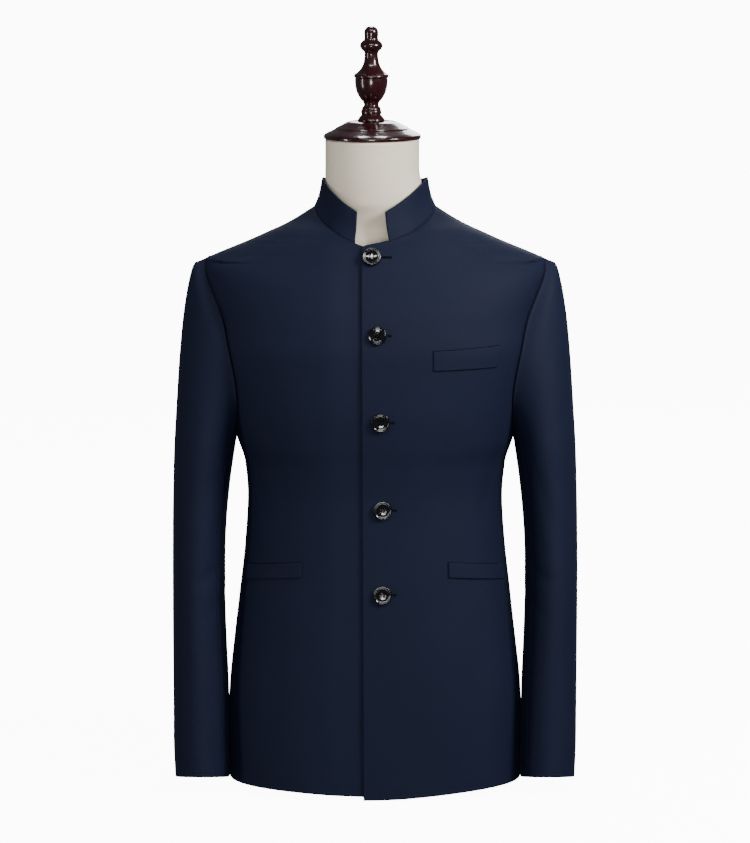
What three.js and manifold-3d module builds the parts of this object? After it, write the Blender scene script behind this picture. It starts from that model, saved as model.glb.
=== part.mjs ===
// A stand-collar suit jacket with five buttons, on a limbless dress form with a turned wooden finial.
// Millimetres, +Z up. The front faces -Y and +X is the wearer's left. The base stands at Z = 0.

import * as THREE from "three";
import { mergeVertices } from "three/addons/utils/BufferGeometryUtils.js";
import Module from "manifold-3d";

const wasm = await Module();
wasm.setup();

// Driving dimensions
const CLOTH_WALL = 2;
const COLLAR_WALL = 2.6;
const SEAM_GAP = 0.3;
const LAP_GAP = 1.2;
const NECK_POINT = { x: 74, z: 711.4 };
const SHOULDER_TIP = { x: 206.5, z: 647.7 };
const SIDE_SEAM_Y = 8;
const NECK_SHIFT = { foot: -4, rim: -5 };
const FRONT_EDGE = { topX: -17, bottomX: -14.3, bottomZ: 0.5 };
const UNDER_EDGE = { topX: 28.2, bottomX: 28.2, bottomZ: 3.8 };
const LAP_RAMP = { from: -60, to: -20 };
const HEM_SIDE_Z = 11.2;
const HEM_RISE = { reach: 0.8, power: 1.2 };
const CUFF = { z: 13.5, y: -38, tilt: 0.182 };
const BUTTON = { radius: 11.4, thickness: 3.4, holeRadius: 1.1, holeSpread: 2.2, gap: 0.8 };
const WELT = { gap: 0.6, thickness: 1.3 };
const FORM_AXIS_X = -3.3;
const FINIAL_AXIS_X = -4.5;
const FORM_NECK_LEAN = { from: 722, over: 34 };
const FORM_SEAT_GAP = 0.6;
const FORM_RIDGE_POWER = 1.7;
const BASE = { halfWidth: 130, halfDepth: 88, height: 12, bevel: 1.5 };

// Facets, and how finely the curves behind them are sampled
const CURVE_STEPS = 100;
const PANEL_COLUMNS = 11;
const SIDE_LEVELS = [
  60, 120, 180, 230, 270, 302, 332, 362, 395, 431, 463, 497, 530, 560, 588, 612, 631, 647.7, 657,
];
const BACK_TOP_LEVELS = [669, 680, 691, 698];
const ARMHOLE_CUT = { gap: 0.3, fromX: 100, depth: 160 };
const PANEL_TOP_Z = 711;
const SLEEVE_ROWS = 10;
const WELT_CELLS = { high: 2, chest: 5, hip: 8 };
const FORM_FACETS = { torso: 28, cap: 28, finial: 16, base: 18 };
const BUTTON_FACETS = { disc: 24, hole: 6 };

const CLOTH = { color: 0x1a2236, roughness: 0.85, metalness: 0 };
const LINEN = { color: 0xe4ddcf, roughness: 0.95, metalness: 0 };
const CHERRY = { color: 0x3a0d0e, roughness: 0.2, metalness: 0 };
const HORN = { color: 0x0b0c0f, roughness: 0.12, metalness: 0 };

// The jacket's level sections: half width, depth in front and behind, and the squareness of the corners
const JACKET = [
  { z: 0, half: 178.6, front: 121.5, back: 130.3, power: 2.6 },
  { z: 60, half: 179.2, front: 121.5, back: 129.8, power: 2.6 },
  { z: 100, half: 179.2, front: 121.3, back: 128.8, power: 2.6 },
  { z: 122, half: 178.4, front: 121, back: 128, power: 2.6 },
  { z: 182, half: 172.3, front: 120, back: 123, power: 2.55 },
  { z: 241, half: 165.4, front: 118.5, back: 118, power: 2.5 },
  { z: 301, half: 158.7, front: 117, back: 111, power: 2.45 },
  { z: 360, half: 155.3, front: 116.5, back: 106, power: 2.4 },
  { z: 400, half: 158.7, front: 119, back: 108, power: 2.4 },
  { z: 431, half: 168.5, front: 122.5, back: 111, power: 2.4 },
  { z: 480, half: 178.9, front: 125.5, back: 118, power: 2.4 },
  { z: 536, half: 190.9, front: 125, back: 123, power: 2.4 },
  { z: 579, half: 196, front: 118, back: 124, power: 2.3 },
  { z: 612, half: 204, front: 107.5, back: 120, power: 2.2 },
  { z: 633, half: 208, front: 99, back: 115, power: 2.03 },
  { z: 647.7, half: 206.5, front: 93, back: 110, power: 1.72 },
  { z: 651.2, half: 197.3, front: 91.5, back: 108.4, power: 1.72 },
  { z: 659.2, half: 177.4, front: 87.8, back: 104.4, power: 1.82 },
  { z: 668.1, half: 155.4, front: 82.4, back: 99.7, power: 1.92 },
  { z: 674.3, half: 141.5, front: 78.5, back: 96.2, power: 2 },
  { z: 679.9, half: 129.5, front: 74.4, back: 92.8, power: 2 },
  { z: 686.7, half: 115.5, front: 66.3, back: 87.8, power: 2 },
  { z: 695.2, half: 99.5, front: 51.5, back: 80, power: 2 },
  { z: 704.3, half: 85, front: 38.6, back: 69, power: 2 },
  { z: 711.4, half: 74, front: 31.4, back: 58.6, power: 2 },
  { z: 730, half: 45, front: 16, back: 34, power: 2 },
];

// The linen torso's level sections, from its base to the top of the neck
const TORSO = [
  { z: 12.3, half: 140, front: 90, back: 96, power: 2.3 },
  { z: 24, half: 148, front: 97, back: 103, power: 2.3 },
  { z: 120, half: 158, front: 106, back: 112, power: 2.3 },
  { z: 240, half: 152, front: 106, back: 106, power: 2.3 },
  { z: 360, half: 142, front: 104, back: 94, power: 2.3 },
  { z: 440, half: 148, front: 108, back: 98, power: 2.3 },
  { z: 530, half: 158, front: 110, back: 106, power: 2.2 },
  { z: 590, half: 164, front: 98, back: 104, power: 2.1 },
  { z: 630, half: 166, front: 80, back: 90, power: 1.9 },
  { z: 652, half: 160, front: 62, back: 72, power: 1.8 },
];
const TORSO_RIDGE = [
  { z: 661, front: 56, back: 64 },
  { z: 676, front: 50, back: 56 },
  { z: 690, front: 44, back: 48 },
];
const TORSO_NECK = [
  { z: 704, half: 63, front: 48, back: 51, power: 2 },
  { z: 718, half: 60, front: 53, back: 54, power: 2 },
  { z: 735, half: 58.6, front: 55, back: 55.5, power: 2 },
  { z: 748, half: 57.6, front: 56, back: 56.5, power: 2 },
  { z: 759, half: 57, front: 56.5, back: 57, power: 2 },
  { z: 792.6, half: 57, front: 57, back: 57, power: 2 },
];

// Neckline heights, by the distance to the side from the collar's middle
const LEFT_NECKLINE = [
  { x: -13.1, z: 669.5 }, { x: -8, z: 671.7 }, { x: 20.5, z: 677.4 }, { x: 39.8, z: 684.1 },
  { x: 54.2, z: 690.7 }, { x: 66, z: 699.6 }, { x: 71.4, z: 705.6 }, { x: 74, z: 711.4 },
];
const RIGHT_NECKLINE = [
  { x: -31.5, z: 667.5 }, { x: 0, z: 669.5 }, { x: 8.1, z: 671.5 }, { x: 20.8, z: 675.8 }, { x: 39.8, z: 683.4 },
  { x: 54.2, z: 690.7 }, { x: 66, z: 699.6 }, { x: 71.4, z: 705.6 }, { x: 74, z: 711.4 },
];
const BACK_NECKLINE = [
  { x: 0, z: 702.4 }, { x: 19, z: 702.9 }, { x: 36, z: 704 }, { x: 51, z: 705.6 }, { x: 63, z: 707.4 },
  { x: 71, z: 709.4 }, { x: 74, z: 711.4 },
];
const COLLAR_END_Z = { left: 677.4, right: 675.8 };
const COLLAR_TOP = [
  { x: 0, y: 62, z: 738 }, { x: 24, y: 58.5, z: 738.6 }, { x: 46, y: 46, z: 740.4 }, { x: 60, y: 24, z: 743.6 },
  { x: 64.2, y: 0, z: 746.5 }, { x: 57.5, y: -25, z: 739.1 }, { x: 48, y: -42, z: 731.1 }, { x: 33.4, y: -57, z: 720.4 },
  { x: 17.2, y: -66, z: 710.8 },
];
const COLLAR_RISE = [{ up: 0, in: 0 }, { up: 0.4, in: 0.58 }, { up: 1, in: 1 }];

// The armhole seam, from the underarm up to the shoulder tip, seen from the side
const ARMHOLE_FRONT = [
  { y: 8, z: 431 }, { y: -15, z: 433.5 }, { y: -40, z: 449 }, { y: -58, z: 478 }, { y: -64, z: 510 },
  { y: -62, z: 543 }, { y: -50, z: 580 }, { y: -34, z: 611 }, { y: -16, z: 634 }, { y: 0, z: 647.7 },
];
const ARMHOLE_BACK = [
  { y: 8, z: 431 }, { y: 29, z: 434 }, { y: 50, z: 452 }, { y: 63, z: 480 }, { y: 67, z: 512 },
  { y: 65, z: 546 }, { y: 54, z: 584 }, { y: 37, z: 614 }, { y: 18, z: 635 }, { y: 0, z: 647.7 },
];

// The sleeve head, from the armhole to the arm: how far out and down, over the top and under the arm
const SLEEVE_HEAD = [
  { out: 0, down: 0, plain: 0 }, { out: 0.19, down: 0.0125, plain: 0.1 }, { out: 0.32, down: 0.021, plain: 0.18 },
  { out: 0.385, down: 0.04, plain: 0.25 }, { out: 0.445, down: 0.071, plain: 0.32 }, { out: 0.52, down: 0.125, plain: 0.4 },
  { out: 0.6, down: 0.195, plain: 0.5 }, { out: 0.72, down: 0.336, plain: 0.62 }, { out: 0.84, down: 0.55, plain: 0.77 },
  { out: 0.92, down: 0.76, plain: 0.88 }, { out: 1, down: 1, plain: 1 },
];
const HEAD_BLEND_POWER = 0.7;
// The sleeve's level sections
const SLEEVE = [
  { z: 420, x: 207.4, y: -4, half: 37.4, depth: 68 }, { z: 400, x: 209, y: -4, half: 36.3, depth: 67 },
  { z: 380, x: 210.95, y: -4.5, half: 35.15, depth: 66.5 }, { z: 340, x: 213.5, y: -6, half: 33.5, depth: 65.5 },
  { z: 301, x: 214.9, y: -8, half: 32.4, depth: 64.5 }, { z: 240, x: 215.15, y: -13, half: 32.25, depth: 62 },
  { z: 182, x: 214.2, y: -19, half: 33.1, depth: 59.5 }, { z: 122, x: 212.65, y: -26, half: 34.05, depth: 57 },
  { z: 62, x: 212.05, y: -33, half: 34.1, depth: 54.5 }, { z: 30, x: 211.8, y: -36.5, half: 34.1, depth: 53.5 },
  { z: 12, x: 210.9, y: -38, half: 33.2, depth: 53 },
];
const SLEEVE_SEAMS = { front: 2, back: 5 };
const SLEEVE_SET_OFF = 0.15;

const BUTTONS = [
  { x: -3.8, z: 658 }, { x: 2.7, z: 567 }, { x: 6.6, z: 462.8 }, { x: 9.2, z: 355.6 }, { x: 8.8, z: 252.7 },
];
const CHEST_WELT = {
  bottom: [{ x: 67.4, y: -116, z: 524.2 }, { x: 145.4, y: -90, z: 525.7 }],
  top: [{ x: 67.4, y: -116, z: 547.8 }, { x: 150.1, y: -88, z: 551.7 }],
};
const HIP_WELT = {
  bottom: [{ x: 87.6, y: -105, z: 271.8 }, { x: 154, y: -46, z: 261 }],
  top: [{ x: 87.6, y: -105, z: 290.3 }, { x: 153.5, y: -46, z: 279.4 }],
};

const NECK_CAP = [
  { r: 0, z: 792.9 }, { r: 56.8, z: 792.9 }, { r: 59, z: 795.4 }, { r: 58.2, z: 798.2 }, { r: 54.4, z: 800.6 },
  { r: 49.4, z: 803 }, { r: 44.6, z: 805.4 }, { r: 40, z: 808.2 }, { r: 35.2, z: 811 }, { r: 30, z: 813.6 },
  { r: 26, z: 814.2 }, { r: 0, z: 814.2 },
];
const FINIAL = [
  { r: 0, z: 814.5 }, { r: 16.1, z: 814.5 }, { r: 14.6, z: 818.7 }, { r: 11.8, z: 822.4 }, { r: 12.2, z: 826 },
  { r: 11.5, z: 829.7 }, { r: 9, z: 833.4 }, { r: 9.2, z: 837 }, { r: 12.6, z: 840.7 }, { r: 16.9, z: 848 },
  { r: 19.3, z: 856 }, { r: 19.9, z: 866.4 }, { r: 20.7, z: 868.4 }, { r: 20.5, z: 871 }, { r: 16.7, z: 873.9 },
  { r: 13.2, z: 877.4 }, { r: 9.6, z: 884.7 }, { r: 8.3, z: 892 }, { r: 8.3, z: 896.6 }, { r: 9.4, z: 899.6 },
  { r: 12.6, z: 903 }, { r: 13.7, z: 906.6 }, { r: 11.8, z: 910.3 }, { r: 8.7, z: 913.9 }, { r: 8.4, z: 921.3 },
  { r: 8, z: 924.9 }, { r: 4, z: 928.6 }, { r: 0, z: 929.5 },
];

const vec = (x, y, z) => new THREE.Vector3(x, y, z);
const mirrored = (p) => vec(-p.x, p.y, p.z);
const smooth = (t) => {
  const s = Math.min(1, Math.max(0, t));
  return s * s * (3 - 2 * s);
};

// Reads one column of a table at a value of another, on a curve with no overshoot.
function lookup(table, key, at, column) {
  const last = table.length - 1;
  const step = table[last][key] > table[0][key] ? 1 : -1;
  let i = 0;
  while (i < last - 1 && step * at > step * table[i + 1][key]) i += 1;
  const chord = (k) => (table[k + 1][column] - table[k][column]) / (table[k + 1][key] - table[k][key]);
  const slope = (k) => {
    if (k === 0) return chord(0);
    if (k === last) return chord(last - 1);
    const a = chord(k - 1);
    const b = chord(k);
    return a * b <= 0 ? 0 : (2 * a * b) / (a + b);
  };
  const width = table[i + 1][key] - table[i][key];
  const t = Math.min(1, Math.max(0, (at - table[i][key]) / width));
  const rise = table[i + 1][column] - table[i][column];
  const start = slope(i) * width;
  const end = slope(i + 1) * width;
  return table[i][column] + t * (start + t * (3 * rise - 2 * start - end + t * (start + end - 2 * rise)));
}

// The jacket's skin is where this is zero: below zero is inside.
function skin(x, y, z) {
  const half = lookup(JACKET, "z", z, "half");
  const depth = lookup(JACKET, "z", z, y < 0 ? "front" : "back");
  const power = lookup(JACKET, "z", z, "power");
  return ((Math.abs(x) / half) ** power + (Math.abs(y) / depth) ** power) ** (1 / power) - 1;
}

function skinGradient(p) {
  const h = 0.2;
  return vec(
    skin(p.x + h, p.y, p.z) - skin(p.x - h, p.y, p.z),
    skin(p.x, p.y + h, p.z) - skin(p.x, p.y - h, p.z),
    skin(p.x, p.y, p.z + h) - skin(p.x, p.y, p.z - h),
  ).divideScalar(2 * h);
}

const skinNormal = (p) => skinGradient(p).normalize();

// The skin's point at a height, in the level direction of x and y.
function skinAt(x, y, z) {
  const k = 1 + skin(x, y, z);
  return vec(x / k, y / k, z);
}

// The front or back of the skin at a place across it.
function skinAcross(x, z, side) {
  const half = lookup(JACKET, "z", z, "half");
  const depth = lookup(JACKET, "z", z, side < 0 ? "front" : "back");
  const power = lookup(JACKET, "z", z, "power");
  const rest = Math.max(0, 1 - (Math.abs(x) / half) ** power);
  return vec(x, side * depth * rest ** (1 / power), z);
}

function arcShares(points) {
  const shares = [0];
  for (let i = 1; i < points.length; i += 1) shares.push(shares[i - 1] + points[i].distanceTo(points[i - 1]));
  return shares.map((s) => s / shares[shares.length - 1]);
}

// Points at the given shares of a polyline's length.
function atShares(points, shares) {
  const own = arcShares(points);
  return shares.map((share) => {
    let i = 0;
    while (i < own.length - 2 && own[i + 1] < share) i += 1;
    const t = (share - own[i]) / (own[i + 1] - own[i]);
    return points[i].clone().lerp(points[i + 1], t);
  });
}

const even = (count) => Array.from({ length: count + 1 }, (_, i) => i / count);

// A neckline's point on the skin at a height. The collar's middle lies to one side in front.
function necklinePoint(table, side, z) {
  const across = lookup(table, "z", z, "x");
  const shift = side.y < 0 ? NECK_SHIFT.foot * (1 - (across / NECK_POINT.x) ** 2) : 0;
  return skinAcross(side.x * across + shift, z, side.y);
}

// The skin's point at a height and a depth, on the wearer's left.
function skinBeside(y, z) {
  const half = lookup(JACKET, "z", z, "half");
  const depth = lookup(JACKET, "z", z, y < 0 ? "front" : "back");
  const power = lookup(JACKET, "z", z, "power");
  return vec(half * (1 - (Math.abs(y) / depth) ** power) ** (1 / power), y, z);
}

const ARMHOLES = {
  front: ARMHOLE_FRONT.map((row) => skinBeside(row.y, row.z)),
  back: ARMHOLE_BACK.map((row) => skinBeside(row.y, row.z)),
};

// One level row of a panel, or a row that rises from one height to another as a hem does.
function panelRow(start, end, rise = (t) => t) {
  const from = Math.atan2(start.y, start.x);
  const to = Math.atan2(end.y, end.x);
  const fine = even(CURVE_STEPS).map((t) => {
    const angle = from + (to - from) * t;
    return skinAt(Math.cos(angle), Math.sin(angle), start.z + (end.z - start.z) * rise(t));
  });
  return atShares(fine, even(PANEL_COLUMNS));
}

// The outer edge of a panel at a height: the side seam, then the shoulder seam.
function outerPoint(z) {
  if (z > SHOULDER_TIP.z) return vec(lookup(JACKET, "z", z, "half"), 0, z);
  const above = Math.max(0, (z - ARMHOLE_FRONT[0].z) / (SHOULDER_TIP.z - ARMHOLE_FRONT[0].z));
  return skinBeside(SIDE_SEAM_Y * (1 - above), z);
}

// A panel's rows, from the hem up to the neck point, before the armhole is cut.
function panelGrid(hemZ, levels, innerPoint) {
  const rise = (t) => smooth(t / HEM_RISE.reach) ** HEM_RISE.power;
  const hem = panelRow(innerPoint(hemZ), skinBeside(SIDE_SEAM_Y, HEM_SIDE_Z), rise);
  return [hem, ...[...SIDE_LEVELS, ...levels].map((z) => panelRow(innerPoint(z), outerPoint(z)))];
}

// Draws a grid's four edges in by half a seam gap, square to each edge.
function drawnIn(grid) {
  const rows = grid.length - 1;
  const columns = grid[0].length - 1;
  const step = (p, inner, before, after) => {
    const along = after.clone().sub(before).normalize();
    const inward = inner.clone().sub(p);
    return inward.addScaledVector(along, -inward.dot(along)).setLength(SEAM_GAP / 2);
  };
  return grid.map((row, j) => row.map((p, i) => {
    const q = p.clone();
    const across = [row[Math.max(i - 1, 0)], row[Math.min(i + 1, columns)]];
    const up = [grid[Math.max(j - 1, 0)][i], grid[Math.min(j + 1, rows)][i]];
    if (i === 0) q.add(step(p, row[1], ...up));
    if (i === columns) q.add(step(p, row[columns - 1], ...up));
    if (j === 0) q.add(step(p, grid[1][i], ...across));
    if (j === rows) q.add(step(p, grid[rows - 1][i], ...across));
    return q;
  }));
}

function gridNormals(grid, sign) {
  const rows = grid.length - 1;
  const columns = grid[0].length - 1;
  return grid.map((row, j) => row.map((_, i) => {
    const along = row[Math.min(i + 1, columns)].clone().sub(row[Math.max(i - 1, 0)]);
    const up = grid[Math.min(j + 1, rows)][i].clone().sub(grid[Math.max(j - 1, 0)][i]);
    return along.cross(up).normalize().multiplyScalar(sign);
  }));
}

// One closed body between two grids of the same size, the first of them outside.
function wall(outside, inside) {
  const rows = outside.length;
  const columns = outside[0].length;
  const positions = [];
  [outside, inside].forEach((grid) => grid.forEach((row) => row.forEach((p) => positions.push(p.x, p.y, p.z))));
  const at = (layer, j, i) => layer * rows * columns + j * columns + i;
  const index = [];
  const quad = (a, b, c, d) => index.push(a, b, c, a, c, d);
  for (let j = 0; j < rows - 1; j += 1) {
    for (let i = 0; i < columns - 1; i += 1) {
      quad(at(0, j, i), at(0, j, i + 1), at(0, j + 1, i + 1), at(0, j + 1, i));
      quad(at(1, j, i), at(1, j + 1, i), at(1, j + 1, i + 1), at(1, j, i + 1));
    }
  }
  for (let i = 0; i < columns - 1; i += 1) {
    quad(at(0, 0, i), at(1, 0, i), at(1, 0, i + 1), at(0, 0, i + 1));
    quad(at(0, rows - 1, i), at(0, rows - 1, i + 1), at(1, rows - 1, i + 1), at(1, rows - 1, i));
  }
  for (let j = 0; j < rows - 1; j += 1) {
    quad(at(0, j, 0), at(0, j + 1, 0), at(1, j + 1, 0), at(1, j, 0));
    quad(at(0, j, columns - 1), at(1, j, columns - 1), at(1, j + 1, columns - 1), at(0, j + 1, columns - 1));
  }
  return facingOut(positions, index);
}

// Turns every face over if the body is inside out.
function facingOut(positions, index) {
  const corner = (k) => vec(positions[3 * k], positions[3 * k + 1], positions[3 * k + 2]);
  let volume = 0;
  for (let i = 0; i < index.length; i += 3) {
    volume += corner(index[i]).dot(corner(index[i + 1]).cross(corner(index[i + 2])));
  }
  if (volume < 0) index.reverse();
  const geometry = new THREE.BufferGeometry();
  geometry.setAttribute("position", new THREE.Float32BufferAttribute(positions, 3));
  geometry.setIndex(index);
  return geometry;
}

const moved = (grid, normals, distance) => grid.map((row, j) => row.map((p, i) => {
  const step = typeof distance === "function" ? distance(p) : distance;
  return p.clone().addScaledVector(normals[j][i], step);
}));

const jacket = new THREE.Group();
const form = new THREE.Group();

function add(group, name, geometry, finish) {
  const mesh = new THREE.Mesh(geometry, new THREE.MeshStandardMaterial({ ...finish }));
  mesh.name = name;
  group.add(mesh);
  return mesh;
}

// The right front dips under the left one along the lap.
const lapDip = (p) => -(CLOTH_WALL + LAP_GAP) * smooth((p.x - LAP_RAMP.from) / (LAP_RAMP.to - LAP_RAMP.from));

function asSolid(geometry) {
  ["normal", "uv"].forEach((name) => geometry.deleteAttribute(name));
  const merged = mergeVertices(geometry);
  return new wasm.Manifold(new wasm.Mesh({
    numProp: 3,
    vertProperties: merged.attributes.position.array,
    triVerts: new Uint32Array(merged.index.array),
  }));
}

function asGeometry(solid) {
  const mesh = solid.getMesh();
  const geometry = new THREE.BufferGeometry();
  geometry.setAttribute("position", new THREE.Float32BufferAttribute(mesh.vertProperties, 3));
  geometry.setIndex([...mesh.triVerts]);
  return geometry;
}

// A straight-sided block with the armhole's outline, a little wider than the sleeve's own edge.
function armholeCutter(side) {
  const loop = [...ARMHOLE_FRONT, ...ARMHOLE_BACK.slice(1, -1).reverse()].map((row) => new THREE.Vector2(row.y, row.z));
  const middle = loop.reduce((sum, p) => sum.add(p), new THREE.Vector2()).divideScalar(loop.length);
  const wider = loop.map((p) => p.clone().add(p.clone().sub(middle).setLength(ARMHOLE_CUT.gap)));
  const block = new THREE.ExtrudeGeometry(new THREE.Shape(wider), { depth: ARMHOLE_CUT.depth, bevelEnabled: false });
  block.translate(0, 0, side > 0 ? ARMHOLE_CUT.fromX : -ARMHOLE_CUT.fromX - ARMHOLE_CUT.depth);
  block.applyMatrix4(new THREE.Matrix4().makeBasis(vec(0, 1, 0), vec(0, 0, 1), vec(1, 0, 0)));
  return asSolid(block);
}

function addPanel(name, rows, dip = null) {
  const normals = rows.map((row) => row.map(skinNormal));
  const outside = drawnIn(dip ? moved(rows, normals, dip) : rows);
  const panel = asSolid(wall(outside, moved(outside, normals, -CLOTH_WALL)));
  const side = rows[0][PANEL_COLUMNS].x > 0 ? 1 : -1;
  add(jacket, name, asGeometry(panel.subtract(armholeCutter(side))), CLOTH);
}

// The inner edge of a front at a height: the straight front edge, then the neckline.
function frontEdgePoint(edge, neck, side, z) {
  if (z > neck[0].z) return necklinePoint(neck, { x: side, y: -1 }, z);
  const share = (z - edge.bottomZ) / (neck[0].z - edge.bottomZ);
  return skinAcross(edge.bottomX + (edge.topX - edge.bottomX) * share, z, -1);
}

function makeFronts() {
  const fronts = [
    { name: "front_left", edge: FRONT_EDGE, neck: LEFT_NECKLINE, side: 1, dip: null },
    { name: "front_right", edge: UNDER_EDGE, neck: RIGHT_NECKLINE, side: -1, dip: lapDip },
  ];
  fronts.forEach(({ name, edge, neck, side, dip }) => {
    const onSide = (p) => (side < 0 ? mirrored(p) : p);
    const levels = [...neck.slice(0, -1).map((row) => row.z), PANEL_TOP_Z];
    const grid = panelGrid(edge.bottomZ, levels, (z) => onSide(frontEdgePoint(edge, neck, side, z)));
    addPanel(name, grid.map((row) => row.map(onSide)), dip);
  });
}

function makeBacks() {
  const levels = [...BACK_TOP_LEVELS, ...BACK_NECKLINE.slice(0, -1).map((row) => row.z), PANEL_TOP_Z];
  const centre = (z) => (z > BACK_NECKLINE[0].z ? necklinePoint(BACK_NECKLINE, { x: 1, y: 1 }, z) : skinAcross(0, z, 1));
  const grid = panelGrid(HEM_SIDE_Z, levels, centre);
  addPanel("back_left", grid);
  addPanel("back_right", grid.map((row) => row.map(mirrored)));
}

// The sleeve's point at a turn round the arm, from the outside (0) over the front (90) to the inside (180).
function sleevePoint(degrees, share) {
  const angle = THREE.MathUtils.degToRad(degrees);
  const level = SLEEVE[0].z + (CUFF.z - SLEEVE[0].z) * share;
  const at = (column) => lookup(SLEEVE, "z", level, column);
  const y = at("y") - at("depth") * Math.sin(angle);
  const end = CUFF.z - CUFF.tilt * (y - CUFF.y);
  return vec(at("x") + at("half") * Math.cos(angle), y, SLEEVE[0].z + (end - SLEEVE[0].z) * share);
}

// One lengthwise line of the sleeve, from the armhole down to the cuff.
function sleeveLine(seam, degrees) {
  const arm = sleevePoint(degrees, 0);
  const over = (0.5 + 0.5 * Math.cos(THREE.MathUtils.degToRad(degrees))) ** HEAD_BLEND_POWER;
  const head = SLEEVE_HEAD.map((row) => {
    const out = over * row.out + (1 - over) * row.plain;
    const down = over * row.down + (1 - over) * row.plain;
    return vec(
      seam.x + (arm.x - seam.x) * out,
      seam.y + (arm.y - seam.y) * out,
      seam.z + (arm.z - seam.z) * down,
    );
  });
  head[0].add(head[1].clone().sub(head[0]).setLength(SLEEVE_SET_OFF));
  return [...head, ...even(SLEEVE_ROWS).slice(1).map((share) => sleevePoint(degrees, share))];
}

function makeSleeves() {
  const loopShares = arcShares(ARMHOLES.front);
  const backShares = arcShares(ARMHOLES.back);
  const frontLines = ARMHOLES.front.map((p, k) => sleeveLine(p, 180 - 180 * loopShares[k]));
  const backLines = ARMHOLES.back.map((p, k) => sleeveLine(p, 180 + 180 * backShares[k]));
  const overArm = [...frontLines.slice(SLEEVE_SEAMS.front), ...backLines.slice(SLEEVE_SEAMS.back, -1).reverse()];
  const underArm = [...backLines.slice(1, SLEEVE_SEAMS.back + 1).reverse(), ...frontLines.slice(0, SLEEVE_SEAMS.front + 1)];
  const ring = [...frontLines, ...backLines.slice(1, -1).reverse()];
  const normals = gridNormals([ring[ring.length - 1], ...ring, ring[0]], 1).slice(1, -1);
  const normalOf = new Map(ring.map((line, k) => [line, normals[k]]));
  const pieces = { sleeve_top: overArm, sleeve_under: underArm };
  Object.entries(pieces).forEach(([name, lines]) => {
    const outside = drawnIn(lines);
    const inside = moved(outside, lines.map((line) => normalOf.get(line)), -CLOTH_WALL);
    const flipped = (grid) => grid.map((row) => row.map(mirrored));
    add(jacket, `${name}_left`, wall(outside, inside), CLOTH);
    add(jacket, `${name}_right`, wall(flipped(outside), flipped(inside)), CLOTH);
  });
}

// Half of the collar, from the centre of the back round to its front end.
function collarHalf(side) {
  const name = side > 0 ? "left" : "right";
  const table = side > 0 ? LEFT_NECKLINE : RIGHT_NECKLINE;
  const neckPoint = vec(side * NECK_POINT.x, 0, NECK_POINT.z);
  const back = BACK_NECKLINE.slice(0, -1).map((row) => necklinePoint(BACK_NECKLINE, { x: side, y: 1 }, row.z));
  const frontRows = table.slice(0, -1).filter((row) => row.z >= COLLAR_END_Z[name]).reverse();
  const front = frontRows.map((row) => necklinePoint(table, { x: side, y: -1 }, row.z));
  const foot = [...back, neckPoint, ...front];
  const dipped = foot.map((p) => (side < 0 && p.y < 0 ? p.clone().addScaledVector(skinNormal(p), lapDip(p)) : p));
  const rim = COLLAR_TOP.map((row) => {
    const shift = row.y < 0 ? NECK_SHIFT.rim * (1 - (row.x / NECK_POINT.x) ** 2) : 0;
    return vec(side * row.x + shift, row.y, row.z);
  });
  const curve = new THREE.CatmullRomCurve3(rim, false, "centripetal");
  const top = atShares(curve.getSpacedPoints(CURVE_STEPS), arcShares(foot));
  return dipped.map((p, i) => COLLAR_RISE.map((row) => {
    const q = top[i];
    return vec(p.x + (q.x - p.x) * row.in, p.y + (q.y - p.y) * row.in, p.z + (q.z - p.z) * row.up);
  }));
}

function makeCollar() {
  const columns = [...collarHalf(-1).reverse(), ...collarHalf(1).slice(1)];
  const raised = columns.map((column) => column.map((p) => vec(p.x, p.y, p.z + SEAM_GAP / 2)));
  const normals = gridNormals(raised, 1).map((row) => row.map((n) => vec(n.x, n.y, 0).normalize()));
  const outside = drawnIn(raised);
  add(jacket, "collar", wall(outside, moved(outside, normals, -COLLAR_WALL)), CLOTH);
}

function addWelt(name, welt, side, columns) {
  const levels = even(WELT_CELLS.high);
  const lines = even(columns).map((t) => levels.map((v) => {
    const mix = (key) => {
      const low = welt.bottom[0][key] + (welt.bottom[1][key] - welt.bottom[0][key]) * t;
      const high = welt.top[0][key] + (welt.top[1][key] - welt.top[0][key]) * t;
      return low + (high - low) * v;
    };
    return skinAt(side * mix("x"), mix("y"), mix("z"));
  }));
  const normals = lines.map((line) => line.map(skinNormal));
  const inside = moved(lines, normals, side < 0 ? (p) => lapDip(p) + WELT.gap : WELT.gap);
  add(jacket, name, wall(moved(inside, normals, WELT.thickness), inside), CLOTH);
}

function makeButtons() {
  const circle = (x, y, radius, count) => Array.from({ length: count }, (_, i) => {
    const angle = (2 * Math.PI * i) / count;
    return new THREE.Vector2(x + radius * Math.cos(angle), y + radius * Math.sin(angle));
  });
  const disc = new THREE.Shape(circle(0, 0, BUTTON.radius, BUTTON_FACETS.disc));
  [[1, 1], [-1, 1], [-1, -1], [1, -1]].forEach(([x, y]) => {
    const hole = circle(x * BUTTON.holeSpread, y * BUTTON.holeSpread, BUTTON.holeRadius, BUTTON_FACETS.hole);
    disc.holes.push(new THREE.Path(hole));
  });
  const geometry = new THREE.ExtrudeGeometry(disc, { depth: BUTTON.thickness, bevelEnabled: false });
  BUTTONS.forEach((button, k) => {
    const seat = skinAcross(button.x, button.z, -1);
    const normal = skinNormal(seat);
    const mesh = add(jacket, `button_${k + 1}`, geometry, HORN);
    mesh.position.copy(seat).addScaledVector(normal, BUTTON.gap);
    mesh.quaternion.setFromUnitVectors(vec(0, 0, 1), normal);
  });
}

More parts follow.
